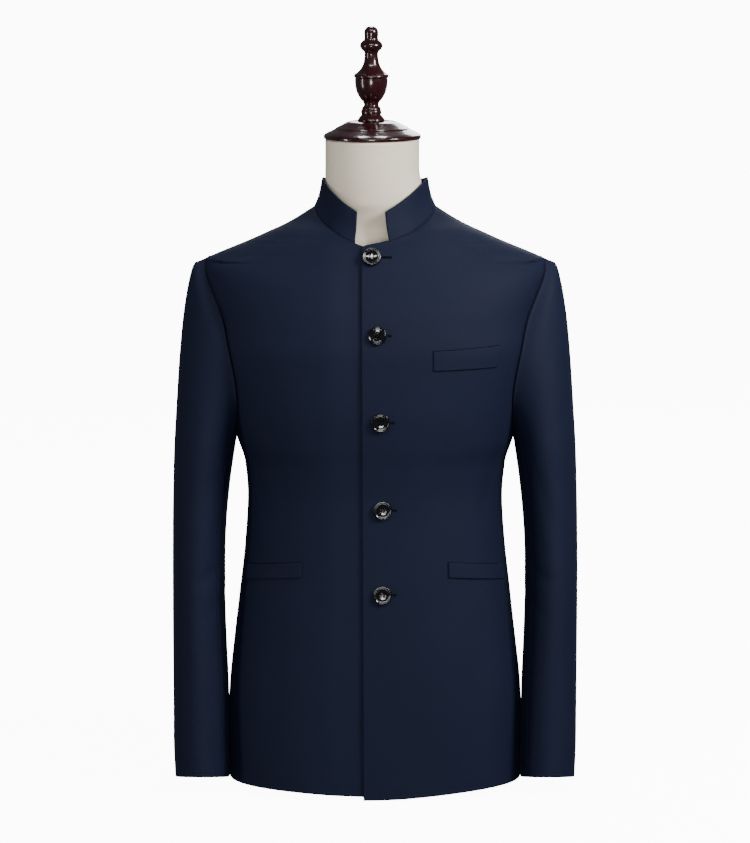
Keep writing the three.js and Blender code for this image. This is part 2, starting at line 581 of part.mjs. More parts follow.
// Level rings with a lid at each end.
function ringBody(rings) {
  const positions = [];
  const index = [];
  const count = rings[0].length;
  rings.forEach((ring) => ring.forEach((p) => positions.push(p.x, p.y, p.z)));
  for (let j = 0; j < rings.length - 1; j += 1) {
    for (let i = 0; i < count; i += 1) {
      const a = j * count + i;
      const b = j * count + ((i + 1) % count);
      index.push(a, b, b + count, a, b + count, a + count);
    }
  }
  const top = (rings.length - 1) * count;
  for (let i = 1; i < count - 1; i += 1) {
    index.push(0, i + 1, i);
    index.push(top, top + i, top + i + 1);
  }
  return facingOut(positions, index);
}

function makeForm() {
  const drop = (CLOTH_WALL + FORM_SEAT_GAP) / Math.cos(Math.atan2(
    NECK_POINT.z - SHOULDER_TIP.z,
    SHOULDER_TIP.x - NECK_POINT.x,
  ));
  const ridge = TORSO_RIDGE.map((row) => ({ ...row, half: lookup(JACKET, "z", row.z + drop, "half"), power: FORM_RIDGE_POWER }));
  const sections = [...TORSO, ...ridge, ...TORSO_NECK];
  const rings = sections.map((row) => Array.from({ length: FORM_FACETS.torso }, (_, i) => {
    const angle = (2 * Math.PI * i) / FORM_FACETS.torso;
    const c = Math.cos(angle);
    const s = Math.sin(angle);
    const depth = s < 0 ? row.front : row.back;
    const shift = FORM_AXIS_X * smooth((row.z - FORM_NECK_LEAN.from) / FORM_NECK_LEAN.over);
    const bend = 2 / row.power;
    return vec(
      shift + row.half * Math.sign(c) * Math.abs(c) ** bend,
      depth * Math.sign(s) * Math.abs(s) ** bend,
      row.z,
    );
  }));
  add(form, "form_torso", ringBody(rings), LINEN);

  const turned = (profile, facets) => {
    const geometry = new THREE.LatheGeometry(profile.map((row) => new THREE.Vector2(row.r, row.z)), facets);
    return geometry.rotateX(Math.PI / 2);
  };
  add(form, "neck_cap", turned(NECK_CAP, FORM_FACETS.cap), CHERRY).position.x = FORM_AXIS_X;
  add(form, "finial", turned(FINIAL, FORM_FACETS.finial), CHERRY).position.x = FINIAL_AXIS_X;

  const oval = new THREE.Shape().absellipse(0, 0, BASE.halfWidth, BASE.halfDepth, 0, 2 * Math.PI);
  const plinth = new THREE.ExtrudeGeometry(oval, {
    depth: BASE.height - 2 * BASE.bevel,
    bevelSize: BASE.bevel,
    bevelThickness: BASE.bevel,
    bevelOffset: -BASE.bevel,
    bevelSegments: 1,
    curveSegments: FORM_FACETS.base,
  });
  add(form, "form_base", plinth, CHERRY).position.z = BASE.bevel;
}

makeFronts();
makeBacks();
makeSleeves();
makeCollar();
addWelt("chest_welt", CHEST_WELT, 1, WELT_CELLS.chest);
addWelt("hip_welt_left", HIP_WELT, 1, WELT_CELLS.hip);
addWelt("hip_welt_right", HIP_WELT, -1, WELT_CELLS.hip);
makeButtons();
makeForm();

const model = new THREE.Group();
model.add(jacket, form);

export default model;
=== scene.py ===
import bpy
import numpy as np
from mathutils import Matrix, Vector


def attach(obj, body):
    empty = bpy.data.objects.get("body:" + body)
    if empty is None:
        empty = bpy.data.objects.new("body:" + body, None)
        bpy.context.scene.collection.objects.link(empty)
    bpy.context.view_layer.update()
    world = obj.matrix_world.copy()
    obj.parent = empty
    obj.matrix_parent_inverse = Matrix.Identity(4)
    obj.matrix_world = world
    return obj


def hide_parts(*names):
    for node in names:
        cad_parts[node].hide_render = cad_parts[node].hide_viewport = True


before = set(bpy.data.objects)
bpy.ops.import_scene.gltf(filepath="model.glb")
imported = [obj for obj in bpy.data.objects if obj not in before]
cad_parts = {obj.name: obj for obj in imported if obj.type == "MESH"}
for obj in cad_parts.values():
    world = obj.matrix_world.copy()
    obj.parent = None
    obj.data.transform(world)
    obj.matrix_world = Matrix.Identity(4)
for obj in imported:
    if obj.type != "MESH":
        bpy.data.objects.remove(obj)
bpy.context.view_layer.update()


# The form's base: a low oval of dark cherry with an eased edge, lacquered to a gloss.
# It stands under the hem, which hides it from in front.
MM = 0.001


class Socket:
    """One output of a shader node, so that shader maths reads as plain maths."""

    def __init__(self, look, out):
        self.look, self.out = look, out

    def __add__(self, other):
        return self.look.maths("ADD", self, other)

    def __sub__(self, other):
        return self.look.maths("SUBTRACT", self, other)

    def __mul__(self, other):
        return self.look.maths("MULTIPLY", self, other)

    __radd__, __rmul__ = __add__, __mul__


class Look:
    """A material whose nodes all come from one method."""

    def __init__(self, name):
        self.material = bpy.data.materials.new(name)
        self.material.use_nodes = True
        self.tree = self.material.node_tree
        self.tree.nodes.clear()

    def node(self, kind, settings, inputs, output=0):
        made = self.tree.nodes.new("ShaderNode" + kind)
        for key, value in settings.items():
            setattr(made, key, value)
        for key, value in inputs.items():
            if isinstance(value, Socket):
                self.tree.links.new(value.out, made.inputs[key])
            else:
                made.inputs[key].default_value = value
        return Socket(self, made.outputs[output])

    def maths(self, operation, *values):
        return self.node("Math", {"operation": operation}, dict(enumerate(values)))

    def mix(self, share, one, other):
        """From one colour to the other."""
        return self.node("Mix", {"data_type": "RGBA"}, {0: share, 6: one, 7: other}, 2)

    def grain(self, source, factors, detail):
        """Noise over the object's or the cloth's own coordinates, scaled along each axis."""
        where = self.node("TexCoord", {}, {}, source)
        scaled = self.node("VectorMath", {"operation": "MULTIPLY"}, {0: where, 1: factors})
        return self.node("TexNoise", {}, {"Vector": scaled, "Scale": 1.0, "Detail": detail})

    def bump(self, height, depth):
        """A bump that is depth millimetres high where height is 1."""
        return self.node("Bump", {}, {"Height": height, "Distance": depth * MM, "Strength": 1.0})

    def surface(self, **inputs):
        shader = self.node("BsdfPrincipled", {}, {k.replace("_", " "): v for k, v in inputs.items()})
        output = self.tree.nodes.new("ShaderNodeOutputMaterial")
        self.tree.links.new(shader.out, output.inputs["Surface"])
        return self.material


def colour(red, green, blue):
    return (red, green, blue, 1.0)


def cherry_look():
    look = Look("cherry_wood")
    grain = look.grain("Object", (260, 260, 18), 4.0)
    fibre = look.grain("Object", (1400, 1400, 60), 2.0)
    cloud = look.grain("Object", (14, 14, 14), 2.0)
    streak = (grain - 0.35) * 1.6 + (fibre - 0.5) * 0.5
    dark, red = colour(0.006, 0.001, 0.0012), colour(0.062, 0.0045, 0.0085)
    return look.surface(
        Base_Color=look.mix(streak * 0.55 + cloud * 0.35, dark, red),
        Roughness=0.24 + fibre * 0.08,
        Normal=look.bump(fibre, 0.01),
        Specular_IOR_Level=0.25,
        Coat_Weight=1.0,
        Coat_Roughness=0.05,
        Coat_IOR=1.5,
    )


CHERRY = cherry_look()


def make_piece(name, points, faces, looks, slot, nodes):
    """One smooth mesh that stands for its CAD nodes and rides with the part."""
    mesh = bpy.data.meshes.new(name)
    mesh.from_pydata((np.asarray(points) * MM).tolist(), [], [tuple(int(i) for i in f) for f in faces])
    mesh.validate()
    mesh.shade_smooth()
    for look in looks:
        mesh.materials.append(look)
    piece = bpy.data.objects.new(name, mesh)
    bpy.context.collection.objects.link(piece)
    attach(piece, "root")
    if nodes:
        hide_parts(*nodes)
    return piece


def grid_faces(rows, columns, closed=False):
    """The quads between level rings or rows of points."""
    last = columns if closed else columns - 1
    down, across = np.meshgrid(np.arange(rows - 1), np.arange(last), indexing="ij")
    beside = (across + 1) % columns
    corners = [down * columns + across, down * columns + beside,
               (down + 1) * columns + beside, (down + 1) * columns + across]
    return np.stack(corners, -1).reshape(-1, 4)


def full_turn(facets):
    return np.linspace(0, 2 * np.pi, facets, endpoint=False)


def oval_rings(half_widths, half_depths, heights, facets, axis_x=0):
    """Level oval rings, one for each height."""
    turn = full_turn(facets)
    return np.stack([axis_x + half_widths[:, None] * np.cos(turn), half_depths[:, None] * np.sin(turn),
                     np.repeat(heights[:, None], facets, 1)], -1)


def rings_body(rings):
    """Points and faces of a closed body of level rings, from the lowest ring up."""
    rows, columns = rings.shape[:2]
    faces = [tuple(f) for f in grid_faces(rows, columns, closed=True)]
    faces.append(tuple(range(columns))[::-1])
    faces.append(tuple((rows - 1) * columns + i for i in range(columns)))
    return rings.reshape(-1, 3), faces


BASE_HALF_WIDTH, BASE_HALF_DEPTH, BASE_FACETS = 130, 88, 160
# How far in from the outline, and height, from the underside to the top
BASE_EDGE = np.array([(1.8, 0), (0.9, 0.25), (0.25, 0.9), (0, 1.9), (0, 9.2), (0.35, 10.4), (1.2, 11.4),
                      (2.6, 12), (9, 12)])
inset, height = BASE_EDGE.T
rings = oval_rings(BASE_HALF_WIDTH - inset, BASE_HALF_DEPTH - inset, height, BASE_FACETS)
make_piece("base", *rings_body(rings), [CHERRY], "cherry_wood", ["form_base"])


# The torso and its neck: padding under natural linen, one smooth body that stands on the base.
# The neck shows and the rest carries the jacket. Its ridge comes through the cloth at both shoulder seams,
# about 160 mm from the middle, which is a known fault.
def read_curve(rows, at, column, key=0):
    """One column of a table at values of another, on a curve with no overshoot."""
    rows = np.asarray(rows, float)
    rows = rows if rows[-1, key] > rows[0, key] else rows[::-1]
    x, y = rows[:, key], rows[:, column]
    chord = np.diff(y) / np.diff(x)
    before, after = chord[:-1], chord[1:]
    same = before * after > 0
    middle = np.where(same, 2 * before * after / np.where(same, before + after, 1), 0)
    slope = np.concatenate([chord[:1], middle, chord[-1:]])
    i = np.clip(np.searchsorted(x, at, side="right") - 1, 0, len(x) - 2)
    width, rise = x[i + 1] - x[i], y[i + 1] - y[i]
    t = np.clip((at - x[i]) / width, 0, 1)
    start, end = slope[i] * width, slope[i + 1] * width
    return y[i] + t * (start + t * (3 * rise - 2 * start - end + t * (start + end - 2 * rise)))


# Height, half width, depth in front and behind, and squareness of the corners, for each level
TORSO = [
    (12.3, 140, 90, 96, 2.3), (24, 148, 97, 103, 2.3), (120, 158, 106, 112, 2.3), (240, 152, 106, 106, 2.3),
    (360, 142, 104, 94, 2.3), (440, 148, 108, 98, 2.3), (530, 158, 110, 106, 2.2), (590, 164, 98, 104, 2.1),
    (630, 166, 80, 90, 1.9), (652, 160, 62, 72, 1.8), (661, 165.7, 56, 64, 1.7), (676, 131.6, 50, 56, 1.7),
    (690, 103.6, 44, 48, 1.7), (704, 63, 48, 51, 2), (718, 60, 53, 54, 2), (735, 58.6, 55, 55.5, 2),
    (748, 57.6, 56, 56.5, 2), (759, 57, 56.5, 57, 2), (792.6, 57, 57, 57, 2),
]
FORM_AXIS_X = -3.3
NECK_LEAN = (722, 756)
TORSO_FACETS, TORSO_LEVELS = 128, 200


def smooth_step(t):
    t = np.clip(t, 0, 1)
    return t * t * (3 - 2 * t)


def linen_look():
    look = Look("linen")
    warp = look.grain("Object", (1500, 1500, 90), 1.0)
    weft = look.grain("Object", (90, 90, 1700), 1.0)
    slub = look.grain("Object", (60, 60, 900), 3.0)
    cloud = look.grain("Object", (9, 9, 9), 3.0)
    threads = warp * 0.5 + weft * 0.5
    pale, deep = colour(0.985, 0.88, 0.7), colour(0.83, 0.7, 0.5)
    return look.surface(
        Base_Color=look.mix((threads - 0.4) * 0.9 + (slub - 0.5) * 0.35 + (cloud - 0.5) * 0.25, pale, deep),
        Roughness=0.86 + threads * 0.1,
        Normal=look.bump(threads + slub * 0.4, 0.12),
        Sheen_Weight=0.12,
    )


def torso_rings():
    """Level rings of the torso, close together where the shoulders turn into the neck."""
    levels = np.interp(np.linspace(0, 1, TORSO_LEVELS), [0, 0.1, 0.45, 0.9, 1], [12.3, 60, 620, 740, 792.6])
    half, front, back, power = (read_curve(TORSO, levels, c) for c in (1, 2, 3, 4))
    turn = full_turn(TORSO_FACETS)
    c, s = np.cos(turn)[None, :], np.sin(turn)[None, :]
    bend = (2 / power)[:, None]
    depth = np.where(s < 0, front[:, None], back[:, None])
    low, high = NECK_LEAN
    shift = FORM_AXIS_X * smooth_step((levels - low) / (high - low))[:, None]
    return np.stack([
        shift + half[:, None] * np.sign(c) * np.abs(c) ** bend,
        depth * np.sign(s) * np.abs(s) ** bend,
        np.repeat(levels[:, None], TORSO_FACETS, 1),
    ], -1)


torso = make_piece("torso", *rings_body(torso_rings()), [linen_look()], "linen", ["form_torso"])


# The neck cap and the finial: two cherry turnings, stained dark red and lacquered.
# The cap closes the neck and the finial is dowelled into it.
CAP = [
    [(0, 792.9), (56.8, 792.9)],
    [(56.8, 792.9), (58.6, 793.9), (59, 795.4), (58.9, 797), (58, 798.4)],
    [(58, 798.4), (54.4, 800.6), (49.4, 803), (45.6, 804.9)],
    [(45.6, 804.9), (43.6, 806.6), (40, 808.4), (35.2, 811), (31, 813.2), (27.6, 814.2)],
    [(27.6, 814.2), (0, 814.2)],
]
FINIAL = [
    [(0, 814.5), (16.1, 814.5)],
    [(16.1, 814.5), (16.2, 816.4), (14.9, 818.8), (12.6, 821.6), (11.4, 823)],
    [(11.4, 823), (12.4, 824), (12.6, 825.6), (12.3, 827.2), (11.4, 828.2)],
    [(11.4, 828.2), (11.6, 829.4), (10.8, 831.2), (9.2, 833)],
    [(9.2, 833), (8.8, 834.4), (9.2, 836)],
    [(9.2, 836), (10, 837.8), (12.6, 840.7), (15.1, 844.4), (16.9, 848), (18.3, 851.8), (19.4, 857),
     (19.9, 862.4), (19.8, 867.2)],
    [(19.8, 867.2), (20.9, 868), (21.1, 869.6), (20.4, 871.2)],
    [(20.4, 871.2), (18.2, 872.6), (14.9, 875.6), (12, 879.4), (9.9, 884), (8.6, 890), (8.2, 895),
     (8.4, 897.4)],
    [(8.4, 897.4), (9.6, 899.4), (12.4, 902), (13.8, 905.4), (13.2, 908.4), (11, 911.2), (8.8, 913)],
    [(8.8, 913), (8.2, 915.2), (8.5, 919), (8.4, 923), (7, 926.6), (4, 928.9), (0, 929.5)],
]
FINIAL_AXIS_X = -4.5
TURNING_FACETS, TURNING_STEPS = 128, 7


def spline(points, steps):
    """A smooth line through points, with even steps between each two of them."""
    p = np.asarray(points, float)
    if len(p) == 2:
        return p
    padded = np.vstack([2 * p[0] - p[1], p, 2 * p[-1] - p[-2]])
    t = np.arange(steps)[:, None] / steps
    parts = []
    for a, b, c, d in zip(padded[:-3], padded[1:-2], padded[2:-1], padded[3:]):
        square, cube = 2 * a - 5 * b + 4 * c - d, 3 * b - a - 3 * c + d
        parts.append(0.5 * (2 * b + (c - a) * t + square * t ** 2 + cube * t ** 3))
    return np.vstack([*parts, p[-1:]])


def turned(name, profile, axis_x, node):
    """A turning with a soft line through each run of its profile and an arris between the runs."""
    line = np.vstack([spline(run, TURNING_STEPS)[:-1] for run in profile] + [profile[-1][-1:]])[1:-1]
    rings = oval_rings(line[:, 0], line[:, 0], line[:, 1], TURNING_FACETS, axis_x)
    return make_piece(name, *rings_body(rings), [CHERRY], "cherry_wood", [node])


turned("cap", CAP, FORM_AXIS_X, "neck_cap")
turned("turned_finial", FINIAL, FINIAL_AXIS_X, "finial")


# The jacket's back: two halves of navy worsted wool, lined, joined by a centre seam.
# Each half hangs from the shoulder seam and is cut away round the armhole.
CLOTH_WALL = 2.0
SEAM_HALF_GAP = 0.15
NECK_POINT = (74, 711.4)
SHOULDER_TIP_X, SHOULDER_TIP_Z = 206.5, 647.7
# Between what heights the chest turns onto the shoulder, and how softly
SHOULDER_TURN, SHOULDER_EASE = (604, 690), 20
UNDERARM_Z = 431
SIDE_SEAM_Y = 8
NECK_SHIFT = -4
HEM_SIDE_Z = 11.2
PANEL_TOP_Z = 711
# Height, half width, depth in front and behind, and squareness of the corners
JACKET = [
    (0, 178.6, 121.5, 130.3, 2.6), (60, 179.2, 121.5, 129.8, 2.6), (100, 179.2, 121.3, 128.8, 2.6),
    (122, 178.4, 121, 128, 2.6), (182, 172.3, 120, 123, 2.55), (241, 165.4, 118.5, 118, 2.5),
    (301, 158.7, 117, 111, 2.45), (360, 155.3, 116.5, 106, 2.4), (400, 158.7, 119, 108, 2.4),
    (431, 168.5, 122.5, 111, 2.4), (480, 178.9, 125.5, 118, 2.4), (536, 190.9, 125, 123, 2.4),
    (579, 196, 118, 124, 2.3), (612, 204, 107.5, 120, 2.2), (633, 208, 99, 115, 2.03),
    (647.7, 206.5, 93, 110, 1.72), (648.2, 205.2, 92.8, 109.8, 1.72), (651.2, 197.3, 91.5, 108.4, 1.72),
    (659.2, 177.4, 87.8, 104.4, 1.82), (668.1, 155.4, 82.4, 99.7, 1.92), (674.3, 141.5, 78.5, 96.2, 2),
    (679.9, 129.5, 74.4, 92.8, 2), (686.7, 115.5, 66.3, 87.8, 2), (695.2, 99.5, 51.5, 80, 2),
    (704.3, 85, 38.6, 69, 2), (711.4, 74, 31.4, 58.6, 2), (730, 45, 16, 34, 2),
]
BACK_NECKLINE = [(0, 702.4), (19, 702.9), (36, 704), (51, 705.6), (63, 707.4), (71, 709.4), (74, 711.4)]
# The armhole seam from the underarm up to the shoulder tip, as depth and height
ARMHOLE_FRONT = [(8, 431), (-15, 433.5), (-40, 449), (-58, 478), (-64, 510), (-62, 543), (-50, 580),
                 (-34, 611), (-16, 634), (0, 647.7)]
ARMHOLE_BACK = [(8, 431), (29, 434), (50, 452), (63, 480), (67, 512), (65, 546), (54, 584), (37, 614),
                (18, 635), (0, 647.7)]
# Distances from an edge where a panel's rows or columns lie close together, so that the edge can be shaped
EDGE_STEPS = np.array([0.15, 0.35, 0.8, 1.4, 2.2, 3.3, 5, 7.5])
MIDDLE_COLUMNS = 68
LEVEL_STEP = 3.1


def section(z, y):
    """Half width, depth on y's side, and squareness of the jacket at a height."""
    depth = np.where(y < 0, read_curve(JACKET, z, 2), read_curve(JACKET, z, 3))
    return read_curve(JACKET, z, 1), depth, read_curve(JACKET, z, 4)


def skin(p):
    """The jacket's skin is where this is zero: below zero is inside."""
    half, depth, power = section(p[..., 2], p[..., 1])
    return ((np.abs(p[..., 0]) / half) ** power + (np.abs(p[..., 1]) / depth) ** power) ** (1 / power) - 1


def unit(vectors):
    return vectors / np.linalg.norm(vectors, axis=-1, keepdims=True)


def skin_normal(p):
    step = 0.2 * np.eye(3)
    return unit(np.stack([skin(p + d) - skin(p - d) for d in step], -1))


def skin_toward(angle, z):
    """The skin's point at a height, in a level direction."""
    ray = np.stack(np.broadcast_arrays(1000 * np.cos(angle), 1000 * np.sin(angle), z), -1).astype(float)
    ray[..., :2] /= (1 + skin(ray))[..., None]
    return ray


def skin_across(x, z, side):
    """The front or back of the skin at a place across it."""
    half, depth, power = section(z, side)
    rest = np.clip(1 - (np.abs(x) / half) ** power, 0, None)
    return np.stack(np.broadcast_arrays(x, side * depth * rest ** (1 / power), z), -1).astype(float)


def skin_beside(y, z):
    """The skin's point at a depth and a height, on the wearer's left."""
    half, depth, power = section(z, y)
    rest = np.clip(1 - (np.abs(y) / depth) ** power, 0, None)
    return np.stack(np.broadcast_arrays(half * rest ** (1 / power), y, z), -1).astype(float)


def lengths(line):
    """The length along a line of points, up to each of them."""
    return np.concatenate([[0], np.cumsum(np.linalg.norm(np.diff(line, axis=0), axis=1))])


def at_shares(line, shares):
    run = lengths(line)
    places = np.asarray(shares) * run[-1]
    return np.stack([np.interp(places, run, column) for column in line.T], -1)


def neckline_point(table, side_x, side_y, z):
    """A neckline's point on the skin at a height. The collar's middle lies to one side in front."""
    across = read_curve(table, z, 0, key=1)
    shift = NECK_SHIFT * (1 - (across / NECK_POINT[0]) ** 2) if side_y < 0 else 0
    return skin_across(side_x * across + shift, z, side_y)


def outer_point(z):
    """The outer edge of a panel on the wearer's left: the side seam, then the shoulder seam."""
    if z > SHOULDER_TIP_Z:
        return np.array([read_curve(JACKET, z, 1), 0, z])
    above = max(0, (z - UNDERARM_Z) / (SHOULDER_TIP_Z - UNDERARM_Z))
    return skin_beside(SIDE_SEAM_Y * (1 - above), z)


def spread(length, middle, first=EDGE_STEPS, last=EDGE_STEPS):
    """Distances along a row: close together at both ends and even between them."""
    squeeze = min(1, length / (2.6 * (first[-1] + last[-1])))
    first, last = first * squeeze, length - last[::-1] * squeeze
    return np.concatenate([first, np.linspace(first[-1], last[0], middle + 2)[1:-1], last])


def panel_grid(inner_point, hem_z, neck_levels):
    """A panel's points on the skin, on the wearer's left, from the hem up to the neck point."""
    low = 60
    lift = spread(low, 16, last=np.zeros(1))[:-1]
    tip = SHOULDER_TIP_Z + np.arange(-11, 11)
    body = np.concatenate([np.arange(low, tip[0] - 1, LEVEL_STEP), tip,
                           np.arange(tip[-1] + 2, neck_levels[0] - 1, LEVEL_STEP)])
    rows = []
    for z in [*lift, *body, *neck_levels]:
        start, end = inner_point(max(z, hem_z)), outer_point(max(z, HEM_SIDE_Z))
        a, b = np.arctan2(start[1], start[0]), np.arctan2(end[1], end[0])
        t = np.linspace(0, 1, 161)
        hem = hem_z + (HEM_SIDE_Z - hem_z) * smooth_step(t / 0.8) ** 1.2
        height = hem + (low - hem) * (z / low) if z < low else np.full_like(t, z)
        line = skin_toward(a + (b - a) * t, height)
        rows.append(at_shares(line, spread(lengths(line)[-1], MIDDLE_COLUMNS) / lengths(line)[-1]))
    return np.array(rows)


def armhole_loop():
    """The armhole's closed outline, as depths and heights: up the front and down the back."""
    front, back = spline(ARMHOLE_FRONT, 12), spline(ARMHOLE_BACK, 12)
    return front, back, np.vstack([front, back[-2:0:-1]])


def inside_loop(p, loop):
    """Which of the points lie inside a closed outline."""
    a, b = loop, np.roll(loop, -1, axis=0)
    y, z = p[..., :1], p[..., 1:]
    spans = (a[:, 1] > z) != (b[:, 1] > z)
    rise = np.where(b[:, 1] == a[:, 1], 1, b[:, 1] - a[:, 1])
    return (np.sum(spans & (y < a[:, 0] + (z - a[:, 1]) * (b[:, 0] - a[:, 0]) / rise), -1) % 2).astype(bool)


def nearest_on(p, line):
    """For each point, the distance to a line, the nearest point on it, and how far along it that lies."""
    a, step = line[:-1], np.diff(line, axis=0)
    size = np.sum(step ** 2, -1)
    size = np.where(size == 0, 1, size)
    best = np.full(len(p), np.inf)
    place, share = np.zeros_like(p), np.zeros(len(p))
    for k in range(len(a)):
        t = np.clip(((p - a[k]) @ step[k]) / size[k], 0, 1)
        q = a[k] + t[:, None] * step[k]
        d = np.linalg.norm(p - q, axis=1)
        near = d < best
        best[near], place[near], share[near] = d[near], q[near], ((k + t) / len(a))[near]
    return best, place, share


def cut_armhole(grid):
    """Removes what lies inside the armhole and sets the cells along it on its outline."""
    rows, columns = grid.shape[:2]
    points, faces = grid.reshape(-1, 3).copy(), grid_faces(rows, columns)
    loop = armhole_loop()[2]
    middle = loop.mean(0)
    loop = loop + unit(loop - middle) * SEAM_HALF_GAP * 2
    inner = np.zeros(len(points), bool)
    level = points[:, 2]
    near = np.nonzero((points[:, 0] > 100) & (level > UNDERARM_Z - 8) & (level < SHOULDER_TIP_Z + 4))[0]
    inner[near] = inside_loop(points[near][:, 1:], loop)
    faces = faces[~inner[faces].all(1)]
    edge = np.intersect1d(np.nonzero(inner)[0], faces)
    place = nearest_on(points[edge][:, 1:], np.vstack([loop, loop[:1]]))[1]
    points[edge] = skin_beside(place[:, 0], place[:, 1])
    kept = np.unique(faces)
    number = np.full(len(points), -1)
    number[kept] = np.arange(len(kept))
    return points[kept], number[faces]


def groove(distance, depth, width):
    return -depth * np.exp(-(distance / width) ** 2)


def calm_at_tip(p):
    """Nothing at the shoulder tips, where four pieces meet, and one everywhere else."""
    away = np.abs(p) - [SHOULDER_TIP_X, 0, SHOULDER_TIP_Z]
    return 1 - np.exp(-np.sum(away ** 2, -1) / 12 ** 2)


def shoulder_turn(p, seam):
    """How far the cloth is drawn in, away from its seams, where the chest turns onto the shoulder."""
    low, high = SHOULDER_TURN
    side = np.where(p[:, 1] < 0, -1, 1)
    shifts = np.linspace(-SHOULDER_EASE, SHOULDER_EASE, 17)
    shares = 1 - np.abs(shifts) / (SHOULDER_EASE + 1)
    across, level = p[:, 0], p[:, 2]
    eased = sum(np.abs(skin_across(across, level + shift, side)[:, 1]) * share
                for shift, share in zip(shifts, shares))
    inside = smooth_step((level - low) / 14) * smooth_step((high - level) / 14)
    inside = inside * smooth_step((seam - 0.5) / 8)
    return (np.abs(p[:, 1]) - eased / shares.sum()) * np.abs(skin_normal(p)[:, 1]) * inside


def rolled(distance, radius):
    """How far a turned edge drops towards its fold."""
    d = np.clip(1 - distance / radius, 0, 1)
    return -radius * (1 - np.sqrt(1 - d ** 2))


def soft_fold(p, path, depth, width):
    """A soft trough, or a ridge where depth is negative, that fades out towards both ends of its path."""
    distance, _, share = nearest_on(p, spline(path, 6))
    return groove(distance, depth, width) * np.sin(np.pi * np.clip(share, 0, 1)) ** 0.8


def uneven(p, size, height, seed):
    """Slow waves that run over cloth in no one direction."""
    draw = np.random.default_rng(seed)
    total = np.zeros(len(p))
    for _ in range(5):
        direction = draw.normal(size=3)
        direction *= 2 * np.pi / (size * draw.uniform(0.7, 1.5) * np.linalg.norm(direction))
        total += np.sin(p @ direction + draw.uniform(0, 2 * np.pi))
    return height * total / 5


def wool_look(name, base, pale):
    """Fine worsted twill: steep diagonal wales, a slightly mottled dye and a faint bloom of loose fibre.
    Along the seams the cloth is pressed into a smooth groove, and painted shade darkens its colour there.
    """
    look = Look(name)
    grain = look.node("TexCoord", {}, {}, "UV")
    across, along = (look.node("SeparateXYZ", {}, {0: grain}, axis) for axis in "XY")
    wale = look.maths("SINE", (across * 0.55 + along) * (2 * np.pi / 0.0011))
    fuzz = look.grain("Object", (2600, 2600, 2600), 2.0)
    yarn = look.grain("UV", (900, 160, 0), 2.0)
    cloud = look.grain("Object", (11, 11, 11), 3.0)
    thread = wale * 0.5 + 0.5
    tone = thread * 0.35 + fuzz * 0.3 + yarn * 0.25 + cloud * 0.35 - 0.1
    seam = look.node("Attribute", {"attribute_name": "seam"}, {}, 2)
    # Near a seam: a pressed groove in the bump and smoother cloth, and painted shade that darkens the colour
    seam_press_and_shade = look.maths("EXPONENT", (seam * seam) * -1.6)
    dyed = look.mix(tone, base, pale)
    return look.surface(
        # Painted shade: towards a seam the colour is mixed towards near black
        Base_Color=look.mix(seam_press_and_shade * 0.7, dyed, colour(0.001, 0.0015, 0.004)),
        Roughness=0.66 + fuzz * 0.14 - seam_press_and_shade * 0.06,
        Normal=look.bump(thread * 0.6 + fuzz * 0.5 - seam_press_and_shade * 3.0, 0.06),
        Sheen_Weight=0.012,
        Sheen_Roughness=0.4,
        Sheen_Tint=colour(0.35, 0.5, 1.0),
        Specular_IOR_Level=0.2,
    )


def lining_look():
    look = Look("lining_satin")
    rib = look.grain("UV", (2400, 120, 0), 2.0)
    cloud = look.grain("Object", (16, 16, 16), 2.0)
    dark, pale = colour(0.006, 0.008, 0.016), colour(0.016, 0.02, 0.036)
    return look.surface(
        Base_Color=look.mix(rib * 0.5 + cloud * 0.4, dark, pale),
        Roughness=0.34 + rib * 0.12,
        Normal=look.bump(rib, 0.03),
    )


WOOL = wool_look("worsted_wool", colour(0.0033, 0.0057, 0.018), colour(0.0066, 0.0114, 0.037))
LINING = lining_look()


def cloth_piece(name, points, faces, sizes, seam, nodes, wall=CLOTH_WALL, lined=True, middle_x=0):
    """A shell of cloth from the points of its right side, their places on the flat cloth, and how far each
    lies from a seam."""
    corners = points[faces]
    facing = np.cross(corners[:, 1] - corners[:, 0], corners[:, 3] - corners[:, 0])
    outward = corners.mean(1) - [middle_x, 0, 0]
    outward[:, 2] = 0
    if np.sum(facing * outward) < 0:
        faces = faces[:, ::-1]
    looks = [WOOL, LINING if lined else WOOL, WOOL]
    piece = make_piece(name, points, faces, looks, "wool", nodes)
    mesh = piece.data
    mesh.attributes.new("seam", "FLOAT", "POINT").data.foreach_set("value", np.asarray(seam, np.float32))
    places = (np.asarray(sizes) * MM)[[loop.vertex_index for loop in mesh.loops]]
    mesh.uv_layers.new(name="cloth").data.foreach_set("uv", places.astype(np.float32).ravel())
    shell = piece.modifiers.new("thickness", "SOLIDIFY")
    shell.thickness, shell.offset = wall * MM, -1
    shell.material_offset, shell.material_offset_rim = 1, 2
    shell.use_even_offset = False
    return piece


# Eight samples from each row of a neckline to the next, so that panel and collar meet on one curve
def neckline_levels(table, lowest):
    heights = [row[1] for row in table if row[1] >= lowest]
    fine = np.concatenate([np.linspace(a, b, 9)[:-1] for a, b in zip(heights[:-1], heights[1:])])
    return np.append(fine[fine < PANEL_TOP_Z], PANEL_TOP_Z)


